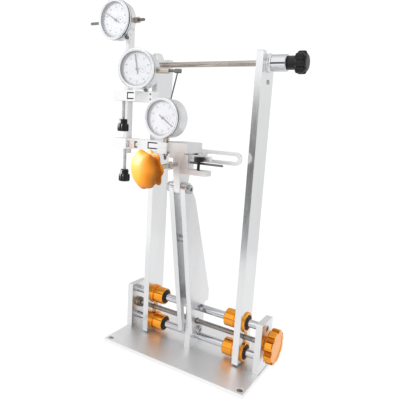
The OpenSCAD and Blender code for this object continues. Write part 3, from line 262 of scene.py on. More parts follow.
finish_of = {n: m for m, ns in FINISH.items() for n in ns}
for name, obj in nodes.items():
    obj.data.materials.clear()
    obj.data.materials.append(finish_of[name])


# Pieces
def add_piece(name, bm, body, materials, smooth=40, outward=True):
    """Piece on a body; edges that turn more than smooth degrees stay sharp."""
    if outward:
        bmesh.ops.recalc_face_normals(bm, faces=bm.faces)
    mesh = bpy.data.meshes.new(name)
    bm.normal_update()
    bm.to_mesh(mesh)
    bm.free()
    for f in mesh.polygons:
        f.use_smooth = True
    mesh.set_sharp_from_angle(angle=math.radians(smooth))
    for m in materials:
        mesh.materials.append(m)
    obj = link(bpy.data.objects.new(name, mesh))
    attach(obj, body)
    return obj


WELD = 0.002
FLAT_ANGLE, SHARP_ANGLE = math.radians(0.5), math.radians(32)
EDGE_STEPS, EDGE_PROFILE, EDGE_SMOOTH = 2, 0.6, 46


def edged(node, width, pick=None, second=shade):
    """A node's solid with its sharp edges rounded by width; faces that pick() finds take second."""
    bm = bmesh.new()
    bm.from_mesh(nodes[node].data)
    bmesh.ops.remove_doubles(bm, verts=bm.verts, dist=WELD * MM)
    bmesh.ops.dissolve_limit(bm, angle_limit=FLAT_ANGLE, verts=bm.verts, edges=bm.edges)
    sharp = [e for e in bm.edges if len(e.link_faces) == 2 and e.calc_face_angle() > SHARP_ANGLE]
    bmesh.ops.bevel(bm, geom=sharp, offset=width * MM, offset_type="OFFSET", segments=EDGE_STEPS,
                    profile=EDGE_PROFILE, affect="EDGES", clamp_overlap=True, loop_slide=False)
    bmesh.ops.triangulate(bm, faces=[f for f in bm.faces if len(f.verts) > 4])
    materials = [finish_of[node]]
    if pick:
        materials.append(second)
        for f in bm.faces:
            f.material_index = int(pick(f.calc_center_median() / MM))
    piece = add_piece(f"{node}_edged", bm, body_of[node], materials, EDGE_SMOOTH,
                      outward=False)
    weighted = piece.modifiers.new("flat faces", "WEIGHTED_NORMAL")
    weighted.keep_sharp = True
    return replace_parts(piece, node)


KNOB_LOW, KNOB_HIGH = (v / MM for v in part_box("lead_screw_knob"))
KNOB_T, KNOB_END, KNOB_RIM_R = 12.0, 1.0, 25.6


def in_knob_notch_shade(c):
    """Whether a point is on the wall of a notch in the lead screw's knob."""
    axis = (KNOB_LOW + KNOB_HIGH) / 2
    inside = KNOB_HIGH.x - KNOB_T + KNOB_END < c.x < KNOB_HIGH.x - KNOB_END
    return inside and math.hypot(c.y - axis.y, c.z - axis.z) < KNOB_RIM_R


BAR_FRONT_Y, CLAMP_FRONT_Y = -57.0, -71.0
SLIT_SKIN, SLIT_DEPTH = 0.3, 2.5


def slit_box(x0, x1, z0, z1, front):
    """Opposite corners of a box just behind a front face."""
    return (x0, front + SLIT_SKIN, z0), (x1, front + SLIT_DEPTH, z1)


def in_boxes(*boxes):
    return lambda c: any(all(a < v < b for a, v, b in zip(low, c, high)) for low, high in boxes)


# Walls of the slits in the two bars take the dark slot_shade: painted shade inside the slits
in_low_slit_shade = in_boxes(slit_box(-66, -38, 318, 331, BAR_FRONT_Y))
in_high_slits_shade = in_boxes(slit_box(-97, -80, 387, 400, CLAMP_FRONT_Y),
                         slit_box(-66, -61, 387, 400, BAR_FRONT_Y))
EDGE_WIDTHS = {
    "base_plate": 0.6, "end_plate_left": 0.5, "end_plate_right": 0.5, "centre_block": 0.5,
    "upright_left": 0.6, "upright_right": 0.6, "arm_plate_left": 0.5, "arm_plate_right": 0.5,
    "head_block": 0.4, "head_box": 0.5, "post": 0.2, "feeler_clamp": 0.4, "feeler_link": 0.4,
    "bush_housings_left": 0.25, "bush_housings_right": 0.25, "thumbscrew_feeler": 0.25,
    "clamp_flange": 0.3, "arm_bolts": 0.3, "arm_nuts": 0.4, "rod_screws": 0.2,
}
KNOB_EDGE, BAR_EDGE, CASE_EDGE = 0.6, 0.25, 0.4
for node, width in EDGE_WIDTHS.items():
    edged(node, width)
# The knob's notch walls take the darker orange, painted shade
edged("lead_screw_knob", KNOB_EDGE, in_knob_notch_shade, orange_notch_painted_shade)
edged("dial_bar", BAR_EDGE, in_low_slit_shade)
edged("upper_bar", BAR_EDGE, in_high_slits_shade)


def lathe(bm, origin, axes, profile, segments, radius=None, closed=False):
    """Skins stations (radius, height) about axes[2]; radius(angle, station) shapes those not round."""
    e1, e2, e3 = axes
    rings = []
    for k, (r, h) in enumerate(profile):
        ring = []
        for j in range(segments):
            a = TURN * j / segments
            p = origin + e3 * h + (e1 * math.cos(a) + e2 * math.sin(a)) * (radius(a, k) if radius else r)
            ring.append(bm.verts.new(p * MM))
        rings.append(ring)
    for a, b in zip(rings, rings[1:] + (rings[:1] if closed else [])):
        for j in range(segments):
            i = (j + 1) % segments
            bm.faces.new((a[j], a[i], b[i], b[j]))
    return rings


def prism(bm, low, high):
    """Closed solid between two outlines of the same number of points; gives its faces."""
    low, high = ([bm.verts.new(p * MM) for p in outline] for outline in (low, high))
    faces = [bm.faces.new(high), bm.faces.new(list(reversed(low)))]
    for i in range(len(low)):
        j = (i + 1) % len(low)
        faces.append(bm.faces.new((low[i], low[j], high[j], high[i])))
    return faces


# Star knob: a hollow moulded dome and a neck on a collar of seven petals, scooped between its ridges
STUD_POINT = Vector((-0.75, -76.7, 303.5))
STUD_TURN, STUD_TILT = math.radians(20), math.radians(7)
STUD_AXES = [
    Matrix.Rotation(-STUD_TURN, 3, "Z") @ Matrix.Rotation(math.radians(90) + STUD_TILT, 3, "X") @ e
    for e in Z_AXES
]
STAR_LOBES, STAR_FROM = 7, 35.0
STAR_SEGMENTS, STAR_STEPS, STAR_SMOOTH = 140, 3, 60
# Sharpness of the valleys at the collar, its drop towards the dome, and the drop's start and length
PETAL_SHARP, SHARP_DROP, DROP_FROM, DROP_OVER = 1.2, 0.5, 5, 7
STAR_HOLLOW = [
    (3.4, 4.0), (7.2, 4.0), (7.2, 21.0), (11.0, 21.0), (13.2, 18.5), (13.8, 9.0), (14.2, 5.0),
    (15.4, 2.0), (17.2, 0.4), (18.4, 0.05),
]
# Height, ridge radius and valley radius of each station outside, from the rim to the crown
STAR_OUTSIDE = [
    (0.2, 23.6, 20.0), (0.9, 24.6, 20.8), (2.0, 24.6, 20.6), (2.8, 23.4, 19.8), (3.5, 20.8, 18.2),
    (4.6, 18.8, 17.2), (6.0, 19.0, 17.4), (8.0, 21.0, 19.0), (10.2, 23.8, 21.6), (12.4, 25.8, 23.4),
    (14.6, 26.6, 24.2), (17.6, 25.4, 23.8), (21.2, 22.0, 21.2), (24.4, 17.2, 16.8), (26.7, 11.2, 11.2),
    (27.7, 5.4, 5.4), (28.0, 0.4, 0.4),
]


def smooth_run(points, steps):
    """Points on a smooth curve through the given ones, with steps between each two."""
    vectors = [Vector(q) for q in points]
    run = []
    for k in range(len(vectors) - 1):
        b, c = vectors[k], vectors[k + 1]
        a = vectors[k - 1] if k else b
        d = vectors[k + 2] if k + 2 < len(vectors) else c
        for i in range(steps):
            t = i / steps
            run.append(b + (c - a) * (t / 2) + (a * 2 - b * 5 + c * 4 - d) * (t * t / 2)
                       + (b * 3 - a - c * 3 + d) * (t ** 3 / 2))
    return run + [vectors[-1]]


def star_knob():
    outside = smooth_run(STAR_OUTSIDE, STAR_STEPS)
    profile = STAR_HOLLOW + [(ridge, h) for h, ridge, _ in outside]
    first = len(STAR_HOLLOW)

    def radius(a, k):
        r, h = profile[k]
        if k < first:
            return r
        sharpness = PETAL_SHARP - SHARP_DROP * unit((h - DROP_FROM) / DROP_OVER)
        valley = (0.5 - 0.5 * math.cos(STAR_LOBES * a)) ** sharpness
        return r + (outside[k - first].z - r) * valley

    bm = bmesh.new()
    rings = lathe(bm, STUD_POINT + STUD_AXES[2] * STAR_FROM, STUD_AXES, profile, STAR_SEGMENTS, radius)
    bm.faces.new(rings[-1])
    piece = add_piece("star_knob_moulded", bm, "star_knob_body", [orange_plastic],
                      STAR_SMOOTH)
    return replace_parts(piece, "star_knob")


star_knob()

# Axle knob: a black moulded knob with seven lobes on a round neck
AXLE_Z, AXLE_NECK = 445.5, 12.0
AXLE_LOBES, AXLE_LOBE_SHARP = 7, 1.6
AXLE_SEGMENTS, AXLE_SMOOTH = 112, 50
# Stations past the first radius have shallow lobes, and past the second deep ones
SHALLOW_R, SHALLOW_LOBE = 9.6, 0.9
DEEP_R, DEEP_LOBE = 12, 3.4


def axle_knob():
    low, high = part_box("axle_knob")
    x0, x1 = low.x / MM, high.x / MM
    rim = x0 + AXLE_NECK
    profile = [
        (4.1, x0), (8.6, x0), (9.0, x0 + 0.5), (9.0, rim - 0.4), (9.4, rim),
        (13.2, rim), (14.5, rim + 0.7), (15.0, rim + 2.2), (15.0, x1 - 5.0), (14.4, x1 - 3.2),
        (12.6, x1 - 2.2), (11.4, x1 - 1.8), (10.6, x1 - 0.6), (9.4, x1), (4.0, x1), (0.3, x1 - 0.1),
    ]

    def radius(a, k):
        r, x = profile[k]
        if r < SHALLOW_R or x < rim:
            return r
        dip = (0.5 - 0.5 * math.cos(AXLE_LOBES * a)) ** AXLE_LOBE_SHARP
        return r - (DEEP_LOBE if r > DEEP_R else SHALLOW_LOBE) * dip

    bm = bmesh.new()
    rings = lathe(bm, Vector((0, 0, AXLE_Z)), X_AXES, profile, AXLE_SEGMENTS, radius)
    bm.faces.new(rings[-1])
    piece = add_piece("axle_knob_moulded", bm, "axle_knob_body", [black_plastic],
                      AXLE_SMOOTH)
    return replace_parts(piece, "axle_knob")


axle_knob()

# Thumbscrews: fluted black grips, narrower at the top, on steel stems with a fine thread
GRIP_R, GRIP_H, GRIP_SEGMENTS, GRIP_SMOOTH = 8.5, 18.0, 80, 50
GRIP_FLUTES, FLUTE_DEPTH, FLUTE_SHARP, FLUTE_REACH = 10, 1.1, 1.5, 1.7
STEM_R, STEM_PITCH, STEM_GROOVE = 2.5, 0.8, 0.25
STEM_STEPS, STEM_SEGMENTS, STEM_SMOOTH = 6, 20, 70


def thumbscrew(node):
    low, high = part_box(node)
    at = Vector(((low.x + high.x) / 2, (low.y + high.y) / 2, low.z)) / MM
    top = (high.z - low.z) / MM
    grip = [
        (0.3, 0.2), (3.0, 0.0), (GRIP_R - 1.6, 0.0), (GRIP_R - 0.6, 0.5), (GRIP_R, 1.6), (GRIP_R, 9.4),
        (GRIP_R - 0.5, 10.4), (GRIP_R - 1.9, 11.0), (GRIP_R - 2.3, 11.8), (GRIP_R - 2.3, GRIP_H - 1.0),
        (GRIP_R - 3.2, GRIP_H), (STEM_R + GAP, GRIP_H),
    ]

    def grip_radius(a, k):
        r = grip[k][0]
        if r < GRIP_R - FLUTE_REACH:
            return r
        return r - FLUTE_DEPTH * (0.5 + 0.5 * math.cos(GRIP_FLUTES * a)) ** FLUTE_SHARP

    bm = bmesh.new()
    rings = lathe(bm, at, Z_AXES, grip, GRIP_SEGMENTS, grip_radius)
    bm.faces.new(rings[0])
    piece = add_piece(f"{node}_grip", bm, body_of[node], [black_plastic], GRIP_SMOOTH)
    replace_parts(piece, node)
    steps = int((top - GRIP_H) / STEM_PITCH * STEM_STEPS)
    stem = [(STEM_R, GRIP_H + GAP + (top - GRIP_H - GAP) * i / steps) for i in range(steps + 1)]

    def stem_radius(a, k):
        turn = (stem[k][1] / STEM_PITCH + a / TURN) % 1.0
        return STEM_R - STEM_GROOVE * abs(2 * turn - 1)

    bm = bmesh.new()
    rings = lathe(bm, at, Z_AXES, stem, STEM_SEGMENTS, stem_radius)
    bm.faces.new(rings[0])
    bm.faces.new(rings[-1])
    add_piece(f"{node}_stem", bm, body_of[node], [steel], STEM_SMOOTH)


thumbscrew("thumbscrew_post")
thumbscrew("thumbscrew_bar")

# Lead screw: a right-hand and a left-hand run of real helical thread
SCREW_Z, SCREW_END_R, SCREW_END = 47.0, 0.02, 0.01
THREAD_PITCH, THREAD_FROM, THREAD_TURNS = 2.0, 10.0, 47
THREAD_STEPS, THREAD_SEGMENTS, THREAD_SMOOTH = 8, 24, 70
CREST, ROOT, FLANK_SLOPE, FLANK_FROM = 4.0, 3.3, 5, 0.75


def lead_screw():
    low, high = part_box("lead_screw")
    x0, x1 = low.x / MM, high.x / MM
    to_x = THREAD_FROM + THREAD_TURNS * THREAD_PITCH
    run = [THREAD_FROM + i * THREAD_PITCH / THREAD_STEPS for i in range(THREAD_TURNS * THREAD_STEPS + 1)]
    stations = [x0, x0 + SCREW_END] + [-x for x in reversed(run)] + run + [x1 - SCREW_END, x1]
    profile = [(CREST, x) for x in stations]

    def radius(a, k):
        x = stations[k]
        if k == 0 or k == len(stations) - 1:
            return SCREW_END_R
        if not THREAD_FROM < abs(x) < to_x:
            return CREST
        turn = (abs(x) / THREAD_PITCH + math.copysign(a / TURN, x)) % 1.0
        return ROOT + (CREST - ROOT) * unit(abs(turn - 0.5) * FLANK_SLOPE - FLANK_FROM)

    bm = bmesh.new()
    lathe(bm, Vector((0, 0, SCREW_Z)), X_AXES, profile, THREAD_SEGMENTS, radius)
    piece = add_piece("lead_screw_thread", bm, "lead_screw_body", [screw_steel],
                      THREAD_SMOOTH)
    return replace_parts(piece, "lead_screw")


lead_screw()

# Dials: printed marks, plain numbers and a knurled edge. Each has its place and its turn in degrees.
DIAL_AT = {
    "top": (Vector((-110.0, -72.0, 495.0)), 0.0),
    "mid": (Vector((-73.0824, -70.3526, 429.0)), 15.0),
    "low": (Vector((-20.5, -74.0, 364.5)), 0.0),
}
MARK_OUT, MARK_T = 9.2, 0.06
TICKS, TICK_LONG, TICK_HALF, TICK_SHORT = 100, 3.4, 2.6, 1.8
NUMBERS, NUMBER_R, NUMBER_SIZE, NUMBER_CURVE = 10, 16.8, 3.3, 2
RING_R, RING_OFF, RING_PARTS = 22.4, 0.15, 96
SUB_AT, SUB_R, SUB_TICKS, SUB_TICK = 8.2, 4.6, 10, 1.2
SUB_RING_OFF, SUB_RING_PARTS = 0.12, 48
SUB_HAND_AT, SUB_HAND_TAIL, SUB_HAND_SHORT = math.radians(300), 1.2, 1.4
SUB_HUB_R, SUB_HUB_PARTS = 0.45, 16
# Half widths of the printed lines
TICK_LONG_W, TICK_W, RING_W = 0.16, 0.10, 0.08
SUB_TICK_W, SUB_RING_W, SUB_HAND_W, SUB_HUB_W = 0.12, 0.09, 0.2, 0.3


def dial_axes(dial):
    at, turn = DIAL_AT[dial]
    out = Vector((math.sin(math.radians(turn)), -math.cos(math.radians(turn)), 0))
    return at, UP.cross(out), out


def number_mesh(text):
    """Flat points and faces of a number."""
    curve = bpy.data.curves.new("number", "FONT")
    curve.body, curve.size, curve.align_x, curve.align_y = text, NUMBER_SIZE, "CENTER", "CENTER"
    curve.resolution_u = NUMBER_CURVE
    obj = link(bpy.data.objects.new("number", curve))
    bpy.context.view_layer.update()
    mesh = bpy.data.meshes.new_from_object(obj.evaluated_get(bpy.context.evaluated_depsgraph_get()))
    bpy.data.objects.remove(obj)
    points = [v.co.to_2d() for v in mesh.vertices]
    faces = [list(p.vertices) for p in mesh.polygons]
    bpy.data.meshes.remove(mesh)
    bpy.data.curves.remove(curve)
    return points, faces


def dial_marks(dial):
    at, right, out = dial_axes(dial)
    bm = bmesh.new()

    def place(u, v, w=0.0):
        return at + right * u + UP * v + out * (MARK_OUT + GAP + w)

    def slab(points):
        prism(bm, [place(u, v) for u, v in points], [place(u, v, MARK_T) for u, v in points])

    def tick(cu, a, r0, r1, w):
        c, s = math.sin(a), math.cos(a)
        slab([(cu + r * c + h * s, r * s - h * c) for r, h in ((r0, -w), (r1, -w), (r1, w), (r0, w))])

    def ring(cu, r, w, n):
        for i in range(n):
            a, b = TURN * i / n, TURN * (i + 1) / n
            slab([(cu + q * math.sin(t), q * math.cos(t))
                  for q, t in ((r - w, a), (r + w, a), (r + w, b), (r - w, b))])

    for i in range(TICKS):
        long, half = i % 10 == 0, i % 5 == 0
        length = TICK_LONG if long else TICK_HALF if half else TICK_SHORT
        tick(0, TURN * i / TICKS, RING_R - length, RING_R, TICK_LONG_W if long else TICK_W)
    ring(0, RING_R + RING_OFF, RING_W, RING_PARTS)
    for i in range(SUB_TICKS):
        tick(SUB_AT, TURN * i / SUB_TICKS, SUB_R - SUB_TICK, SUB_R, SUB_TICK_W)
    ring(SUB_AT, SUB_R + SUB_RING_OFF, SUB_RING_W, SUB_RING_PARTS)
    tick(SUB_AT, SUB_HAND_AT, -SUB_HAND_TAIL, SUB_R - SUB_HAND_SHORT, SUB_HAND_W)
    ring(SUB_AT, SUB_HUB_R, SUB_HUB_W, SUB_HUB_PARTS)
    for i in range(NUMBERS):
        a = TURN * i / NUMBERS
        u, v = NUMBER_R * math.sin(a), NUMBER_R * math.cos(a)
        points, faces = number_mesh(str(10 * i))
        verts = [bm.verts.new(place(u + p.x, v + p.y, MARK_T) * MM) for p in points]
        for f in faces:
            bm.faces.new([verts[k] for k in f])
    add_piece(f"dial_marks_{dial}", bm, f"bezel_{dial}", [ink])


BEZEL_R, KNURL_TEETH, KNURL_DEPTH, TOOTH_SEGMENTS = 27.5, 120, 0.28, 4
BEZEL_BACK, BEZEL_FRONT, BEZEL_SMOOTH = 7.1, 15.1, 32
WINDOW_R, GLASS_FRONT = 23.2, 13.6
SEAT_R, LEDGE_R, LEDGE_FRONT = 25.2, 22.25, 8.4
GROOVE_DEPTH = 1.2
GROOVE_R = BEZEL_R - GROOVE_DEPTH
BEZEL_PROFILE = [
    (LEDGE_R, BEZEL_BACK), (BEZEL_R - 0.4, BEZEL_BACK), (BEZEL_R, BEZEL_BACK + 0.4), (BEZEL_R, 8.1),
    (GROOVE_R, 8.25), (GROOVE_R, 8.5), (BEZEL_R, 8.7), (BEZEL_R, 11.0), (BEZEL_R - KNURL_DEPTH, 11.2),
    (GROOVE_R, 11.4), (GROOVE_R, 13.0), (BEZEL_R, 13.2), (BEZEL_R, 14.3), (BEZEL_R - 0.25, 14.8),
    (BEZEL_R - 0.8, BEZEL_FRONT), (WINDOW_R + 0.6, BEZEL_FRONT), (WINDOW_R + 0.1, BEZEL_FRONT - 0.25),
    (WINDOW_R, BEZEL_FRONT - 0.6), (WINDOW_R, GLASS_FRONT), (SEAT_R, GLASS_FRONT), (SEAT_R, LEDGE_FRONT),
    (LEDGE_R, LEDGE_FRONT),
]
# Stations of the knurl; stations where a band of painted shade begins in the grooves; and stations where a
# pale band of the dial's white begins on the window and seat walls, painted light against their shade
KNURLED, PAINTED_SHADE_BANDS, PAINTED_LIGHT_BANDS = (6, 7), (4, 8, 9), (17, 19)


def dial_bezel(dial):
    """Bezel ring with a knurled band, a groove on either side of it and the seat for glass and face."""
    at, right, out = dial_axes(dial)
    segments = KNURL_TEETH * TOOTH_SEGMENTS

    def radius(a, k):
        wave = 0.5 + 0.5 * math.cos(KNURL_TEETH * a)
        return BEZEL_PROFILE[k][0] - (KNURL_DEPTH * wave if k in KNURLED else 0)

    bm = bmesh.new()
    lathe(bm, at, (right, UP, out), BEZEL_PROFILE, segments, radius, closed=True)
    bm.faces.ensure_lookup_table()
    # Dark groove bands are painted shade; pale wall bands are painted light
    for k in PAINTED_SHADE_BANDS + PAINTED_LIGHT_BANDS:
        for j in range(segments):
            bm.faces[k * segments + j].material_index = 1 if k in PAINTED_SHADE_BANDS else 2
    piece = add_piece(f"dial_bezel_ring_{dial}", bm, f"bezel_{dial}", [dial_metal, shade, printed_white],
                      BEZEL_SMOOTH)
    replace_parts(piece, f"dial_bezel_{dial}")


GASKET_FROM_R, GASKET_TO_R = WINDOW_R - 0.6, WINDOW_R - 0.06
GASKET_BACK, GASKET_FRONT = GLASS_FRONT + 0.03, GLASS_FRONT + 0.6
GASKET_EDGE = min(GASKET_TO_R - GASKET_FROM_R, GASKET_FRONT - GASKET_BACK) / 4
GASKET_PROFILE = [
    (GASKET_FROM_R, GASKET_BACK), (GASKET_TO_R, GASKET_BACK), (GASKET_TO_R, GASKET_FRONT - GASKET_EDGE),
    (GASKET_TO_R - GASKET_EDGE, GASKET_FRONT), (GASKET_FROM_R + GASKET_EDGE, GASKET_FRONT),
    (GASKET_FROM_R, GASKET_FRONT - GASKET_EDGE),
]
GASKET_SEGMENTS = 96


def dial_gasket(dial):
    """Thin seal with rounded corners in the bezel's window, in front of the glass."""
    at, right, out = dial_axes(dial)
    bm = bmesh.new()
    lathe(bm, at, (right, UP, out), GASKET_PROFILE, GASKET_SEGMENTS, closed=True)
    add_piece(f"dial_gasket_{dial}", bm, f"bezel_{dial}", [seal_grey])


CASE_R, STEM_PAST_CASE = 26.5, 1.2
STEM_OF = {"top": Vector((1, 0, 0)), "mid": Vector((0.9659, 0.2588, 0)), "low": Vector((0, 0, -1))}


def in_stem(dial):
    """Test for the points of a dial's case that are on its stem."""
    return lambda c: (c - DIAL_AT[dial][0]).dot(STEM_OF[dial]) > CASE_R + STEM_PAST_CASE


for dial in DIALS:
    dial_marks(dial)
    dial_bezel(dial)
    dial_gasket(dial)
    edged(f"dial_case_{dial}", CASE_EDGE, in_stem(dial), axle_steel)

# Small screws, and marks of painted shade
HEAD_EDGE, HEAD_FLAT, HEAD_SEGMENTS = 0.3, 0.4, 32
# The slot's half length and half width as shares of the head's radius, and its thickness
SLOT_LENGTH, SLOT_WIDTH, SLOT_T = 0.92, 0.16, 0.04


def slotted_screw(name, at, axes, r, height, body, metal=steel, foot=None):
    """Screw head with a dark slab of painted shade across its face for its slot, tapered where foot gives
    the radius at its back.
    """
    profile = [(foot or r, 0.0), (r, height - HEAD_EDGE), (r - HEAD_EDGE, height), (r * HEAD_FLAT, height)]
    bm = bmesh.new()
    rings = lathe(bm, at, axes, profile, HEAD_SEGMENTS)
    bm.faces.new(rings[-1])
    bm.faces.new(list(reversed(rings[0])))
    e1, e2, e3 = axes
    half, lift = r * SLOT_WIDTH, height + GAP
    # The slot is a thin dark slab on the face: painted shade
    slot = ([at + (e1 * u * r * SLOT_LENGTH + e2 * v * half + e3 * (lift + w))
             for u, v in ((-1, -1), (1, -1), (1, 1), (-1, 1))] for w in (0, SLOT_T))
    for f in prism(bm, *slot):
        f.material_index = 1
    return add_piece(name, bm, body, [metal, shade])


# Bezel clamps: a lug on the case with a slotted screw beside the bezel
LUG_FROM_R, LUG_TO_R, LUG_HALF_W, LUG_ROOT = 25.0, 34.0, 3.2, 1
LUG_BACK, LUG_FRONT, LUG_STEPS = 2.4, 6.8, 10


def bezel_clamp(dial, angle, body):
    at, right, out = dial_axes(dial)
    a = math.radians(angle)
    away = right * math.sin(a) + UP * math.cos(a)
    across = out.cross(away)
    outline = [(LUG_FROM_R, -LUG_HALF_W - LUG_ROOT)]
    outline += [(LUG_TO_R - LUG_HALF_W + LUG_HALF_W * math.cos(t), LUG_HALF_W * math.sin(t))
                for t in (math.pi * (i / LUG_STEPS - 0.5) for i in range(LUG_STEPS + 1))]
    outline += [(LUG_FROM_R, LUG_HALF_W + LUG_ROOT)]
    bm = bmesh.new()
    prism(bm, *([at + away * r + across * w + out * h for r, w in outline] for h in (LUG_BACK, LUG_FRONT)))
    add_piece(f"bezel_lug_{dial}", bm, body, [dial_metal])
    slotted_screw(f"bezel_screw_{dial}", at + away * (LUG_TO_R - LUG_HALF_W) + out * (LUG_FRONT + GAP),
                  (away, across, out), r=2.4, height=2.4, body=body, metal=dark_steel)


INLAY_BACK, INLAY_FRONT = 0.01, 0.06


def painted_slit_shade(name, low, high, width, y, body):
    """Thin dark inlay of painted shade for a three-sided slit on a front face at y, open on the right,
    between two corners in x and z.
    """
    (x0, z0), (x1, z1) = low, high
    outline = [(x0, z0), (x1, z0), (x1, z0 + width), (x0 + width, z0 + width), (x0 + width, z1 - width),
               (x1, z1 - width), (x1, z1), (x0, z1)]
    bm = bmesh.new()
    prism(bm, *([Vector((x, y - lift, z)) for x, z in outline] for lift in (INLAY_BACK, INLAY_FRONT)))
    add_piece(name, bm, body, [shade])


# Painted shade of a slit near the lower bar's left end
painted_slit_shade("dial_bar_slit_painted_shade", low=(-90.0, 319.0), high=(-84.5, 328.5), width=2.2, y=BAR_FRONT_Y, body="head")
BENCH_X, BENCH_Y, BENCH_SEAT = 117.0, 67.0, 3.8
for i, (x, y) in enumerate(((-1, -1), (1, -1), (-1, 1), (1, 1))):
    slotted_screw(f"bench_screw_{i}", Vector((x * BENCH_X, y * BENCH_Y, BENCH_SEAT)), Z_AXES,
                  r=4.5, height=2.0, body="base", foot=2.6)
slotted_screw("upright_screw", Vector((90.0, 2.8, 421.0)), X_AXES, r=3.2, height=1.2, body="right_upright")
bezel_clamp("top", 141, "post_body")
bezel_clamp("mid", 155, "upper_bar_body")

# Floor, world and lights. Matt surfaces get only a share of what the camera and the metal see.
MATT_SHARE = 0.41
FLOOR_R_M, FLOOR_Z_M, FLOOR_PARTS, FLOOR_LEVEL, FLOOR_ROUGH = 0.6, -0.0004, 96, 0.97, 0.9
UNDER_SHARE = 0.99


def matt_dim(tree, level):
    path = tree.nodes.new("ShaderNodeLightPath")
    return span(tree, path.outputs["Is Diffuse Ray"], level, level * MATT_SHARE, 0.0, 1.0)


def sheet(name, bm, z, material):
    mesh = bpy.data.meshes.new(name)
    bm.to_mesh(mesh)
    bm.free()
    mesh.materials.append(material)
    obj = link(bpy.data.objects.new(name, mesh))
    obj.location.z = z
    return obj


floor_material, floor_tree, floor_shader = node_tree("floor_pale")
set_sockets(floor_shader, Base_Color=(0.05, 0.05, 0.05, 1), Roughness=FLOOR_ROUGH,
            Emission_Color=(1, 1, 1, 1))
floor_tree.links.new(matt_dim(floor_tree, FLOOR_LEVEL), floor_shader.inputs["Emission Strength"])
floor_material.cycles.emission_sampling = "NONE"
floor_bm = bmesh.new()
bmesh.ops.create_circle(floor_bm, cap_ends=True, radius=FLOOR_R_M, segments=FLOOR_PARTS)
floor = sheet("floor", floor_bm, FLOOR_Z_M, floor_material)

# The floor under the plate, which no light reaches
under_material, _, under_shader = node_tree("floor_unlit")
set_sockets(under_shader, Base_Color=(0.45, 0.45, 0.45, 1), Roughness=FLOOR_ROUGH)
under_bm = bmesh.new()
bmesh.ops.create_grid(under_bm, x_segments=1, y_segments=1, size=0.5)
plate_low, plate_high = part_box("base_plate")
under_size = (plate_high - plate_low).to_2d().to_3d() * UNDER_SHARE
bmesh.ops.scale(under_bm, verts=under_bm.verts, vec=under_size)
under = sheet("floor_under", under_bm, FLOOR_Z_M / 2, under_material)

# The studio is brighter towards FRONT than behind, and brighter on the right than on the left
FRONT, FRONT_RANGE, FRONT_LEVELS = (-0.5, -0.86, 0.0), (-0.35, 0.75), (0.86, 1.48)
SIDE_RANGE, SIDE_LEVELS = (-0.7, 0.6), (0.84, 1.10)
SEEN_LEVEL = 1.05
# Direction, inner and outer angle in degrees and middle level of each soft flag; the last is a bright patch
FLAGS = [
    ((-0.40, -0.917, -0.19), 5, 8.5, 0.12),
    ((-0.40, -0.917, -0.04), 5, 8.5, 0.12),
    ((-0.55, -0.65, 0.52), 4, 11, 0.12),
    ((-0.55, -0.15, 0.82), 3, 9, 0.15),
    ((-0.11, -0.97, -0.2), 5, 15, 0.70),
    ((0.76, -0.63, 0.12), 26, 60, 0.45),
    ((0.62, -0.77, 0.05), 10, 22, 2.6),
]


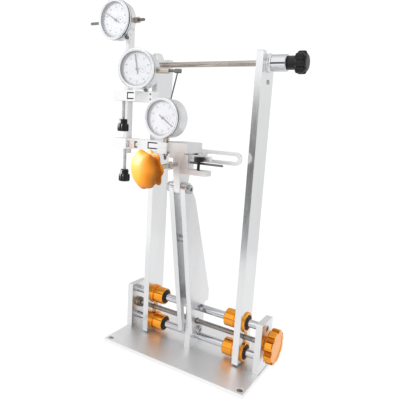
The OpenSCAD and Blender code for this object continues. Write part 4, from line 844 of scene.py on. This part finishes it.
def make_world():
    """White studio: bright in front, greyer behind, with soft flags that give the metal its bands."""
    world = bpy.data.worlds.new("studio")
    bpy.context.scene.world = world
    world.use_nodes = True
    world.cycles.sampling_method = "NONE"
    tree = world.node_tree
    tree.nodes.clear()
    out, seen, lit, mix, path, coord, parts = (tree.nodes.new(f"ShaderNode{kind}") for kind in (
        "OutputWorld", "Background", "Background", "MixShader", "LightPath", "TexCoord", "SeparateXYZ"))
    tree.links.new(coord.outputs["Generated"], parts.inputs[0])

    def soft(value, between, levels):
        return span(tree, value, *levels, *between, "SMOOTHSTEP")

    def times(a, b):
        m = tree.nodes.new("ShaderNodeMath")
        m.operation = "MULTIPLY"
        tree.links.new(a, m.inputs[0])
        tree.links.new(b, m.inputs[1])
        return m.outputs[0]

    def facing(direction):
        d = tree.nodes.new("ShaderNodeVectorMath")
        d.operation = "DOT_PRODUCT"
        d.inputs[1].default_value = Vector(direction).normalized()
        tree.links.new(coord.outputs["Generated"], d.inputs[0])
        return d.outputs["Value"]

    level = soft(facing(FRONT), FRONT_RANGE, FRONT_LEVELS)
    level = times(level, soft(parts.outputs["X"], SIDE_RANGE, SIDE_LEVELS))
    for direction, inner, outer, middle in FLAGS:
        edge = (math.cos(math.radians(outer)), math.cos(math.radians(inner)))
        level = times(level, soft(facing(direction), edge, (1.0, middle)))
    tree.links.new(times(level, matt_dim(tree, 1.0)), lit.inputs["Strength"])
    lit.inputs["Color"].default_value = seen.inputs["Color"].default_value = (1, 1, 1, 1)
    seen.inputs["Strength"].default_value = SEEN_LEVEL
    tree.links.new(path.outputs["Is Camera Ray"], mix.inputs[0])
    tree.links.new(lit.outputs[0], mix.inputs[1])
    tree.links.new(seen.outputs[0], mix.inputs[2])
    tree.links.new(mix.outputs[0], out.inputs["Surface"])


make_world()


def area_light(name, at, towards, size, power):
    """Round lamp; places and size in metres, power in watts."""
    data = bpy.data.lights.new(name, "AREA")
    data.shape, data.size, data.energy = "DISK", size, power
    lamp = link(bpy.data.objects.new(name, data))
    lamp.location = at
    lamp.rotation_mode = "QUATERNION"
    lamp.rotation_quaternion = (Vector(towards) - Vector(at)).to_track_quat("-Z", "Y")
    return lamp


# The key lights the moulded knobs alone; the other lamps leave the metal to the studio's own reflections
KNOBS = ("star_knob_moulded", "thumbscrew_post_grip", "thumbscrew_bar_grip", "thumbscrew_feeler_edged")
key_lit = bpy.data.collections.new("key_lit")
for name in KNOBS:
    key_lit.objects.link(bpy.data.objects[name])
key = area_light("key", at=(-1.6, -0.75, 0.85), towards=(0, 0, 0.25), size=1.1, power=95)
key.light_linking.receiver_collection = key_lit
fill = area_light("fill", at=(-0.35, -1.7, 0.75), towards=(0, 0, 0.3), size=0.8, power=22)
top = area_light("top", at=(0.2, 0.3, 1.9), towards=(0, 0, 0.1), size=1.0, power=4)
fill.visible_glossy = top.visible_glossy = False

view = bpy.context.scene.view_settings
view.view_transform, view.look, view.exposure, view.gamma = "Standard", "None", 0.0, 1.0
